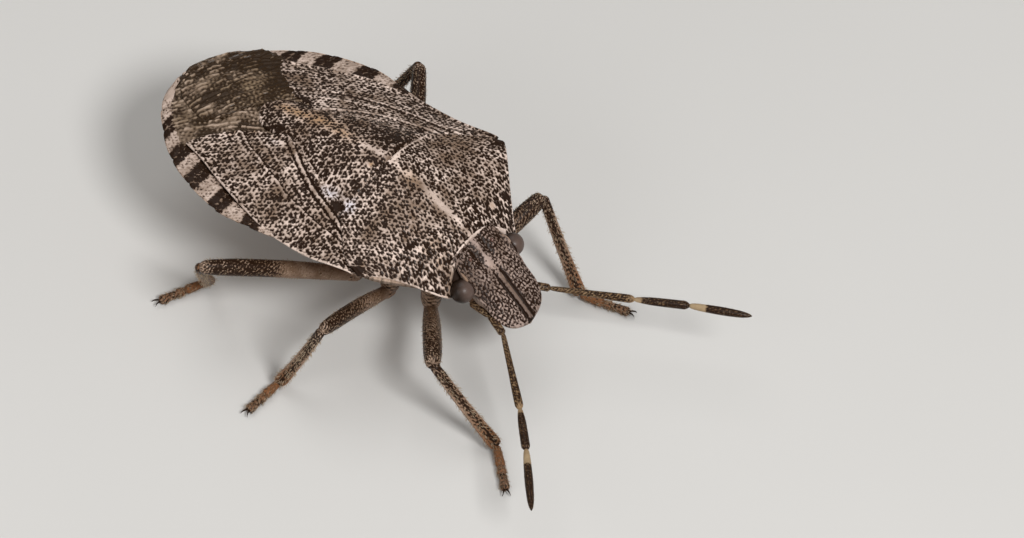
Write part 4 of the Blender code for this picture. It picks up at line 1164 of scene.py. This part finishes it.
def make_floor():
    """A wide flat floor."""
    mesh = bpy.data.meshes.new("floor")
    corners = [(-1, -1), (1, -1), (1, 1), (-1, 1)]
    mesh.from_pydata([(x * FLOOR_REACH, y * FLOOR_REACH, 0) for x, y in corners], [], [(0, 1, 2, 3)])
    mesh.materials.append(two_tone_material("pale_floor", FLOOR_TONES, 60.0, 0.8))
    put_in_scene("floor", mesh)


def aim(made, right, up, behind, place):
    """Put an object at a place in the bug's frame, with its own axes along the ones given."""
    turned = Matrix((right, up, behind)).transposed().to_4x4()
    turned.translation = Vector(np.array(place) * MM + ORIGIN)
    made.matrix_world = turned


def make_camera():
    """The camera at the picture's viewing angle."""
    data = bpy.data.cameras.new("camera")
    data.lens = CAMERA_LENS
    data.sensor_width = SENSOR
    data.clip_start = 0.005
    data.clip_end = 5.0
    made = put_in_scene("camera", data)
    aim(made, *CAMERA_AXES, CAMERA_PLACE)
    bpy.context.scene.camera = made


def make_light(name, place, size, power):
    """One soft studio lamp that shines at the middle of the bug."""
    data = bpy.data.lights.new(name, "AREA")
    data.shape = "DISK"
    data.size = size * MM
    data.energy = power
    behind = Vector(place).normalized()
    right = Vector((0, 0, 1)).cross(behind).normalized()
    aim(put_in_scene(name, data), right, behind.cross(right), behind, place)


def make_world():
    """An even pale surround."""
    world = bpy.data.worlds.new("surround")
    world.use_nodes = True
    surround = world.node_tree.nodes["Background"]
    surround.inputs["Color"].default_value = SURROUND
    surround.inputs["Strength"].default_value = SURROUND_STRENGTH
    bpy.context.scene.world = world
    bpy.context.scene.view_settings.view_transform = "Standard"
    bpy.context.scene.view_settings.look = "None"


def build():
    """Make every piece, then the stage."""
    shell = cuticle("shell_cuticle")
    limb = cuticle("leg_cuticle", **LIMB_SHELL)
    bristle = two_tone_material("bristle", HAIR_TONES, 5000.0, 0.4)
    gloss, lens = eye_material(), lens_material()
    make_pronotum(shell)
    make_scutellum(shell)
    for name, side in SIDES:
        make_wing(name, side, shell)
    make_membranes(cuticle("membrane_film", **FILM))
    make_body(cuticle("body_cuticle"))
    make_head(cuticle("head_cuticle", **HEAD_SHELL))
    for name, side in SIDES:
        make_eye(name, side, gloss)
        make_socket(name, side, limb)
        make_simple_eye(name, side, lens)
    make_rostrum(limb)
    rng = np.random.default_rng(5)
    leg_hairs, feeler_hairs = [], []
    for name, places in LEGS.items():
        make_leg(name, places, limb, leg_hairs, rng)
    make_hairs("hairs_legs", leg_hairs, bristle, LEG_HAIR)
    horn = cuticle("feeler_cuticle", **FEELER_SHELL)
    for side, joints in ANTENNAE.items():
        make_antenna(side, joints, horn, feeler_hairs, rng)
    make_hairs("hairs_feelers", feeler_hairs, bristle, FEELER_HAIR)
    make_floor()
    make_camera()
    for lamp in LAMPS:
        make_light(*lamp)
    make_world()


build()
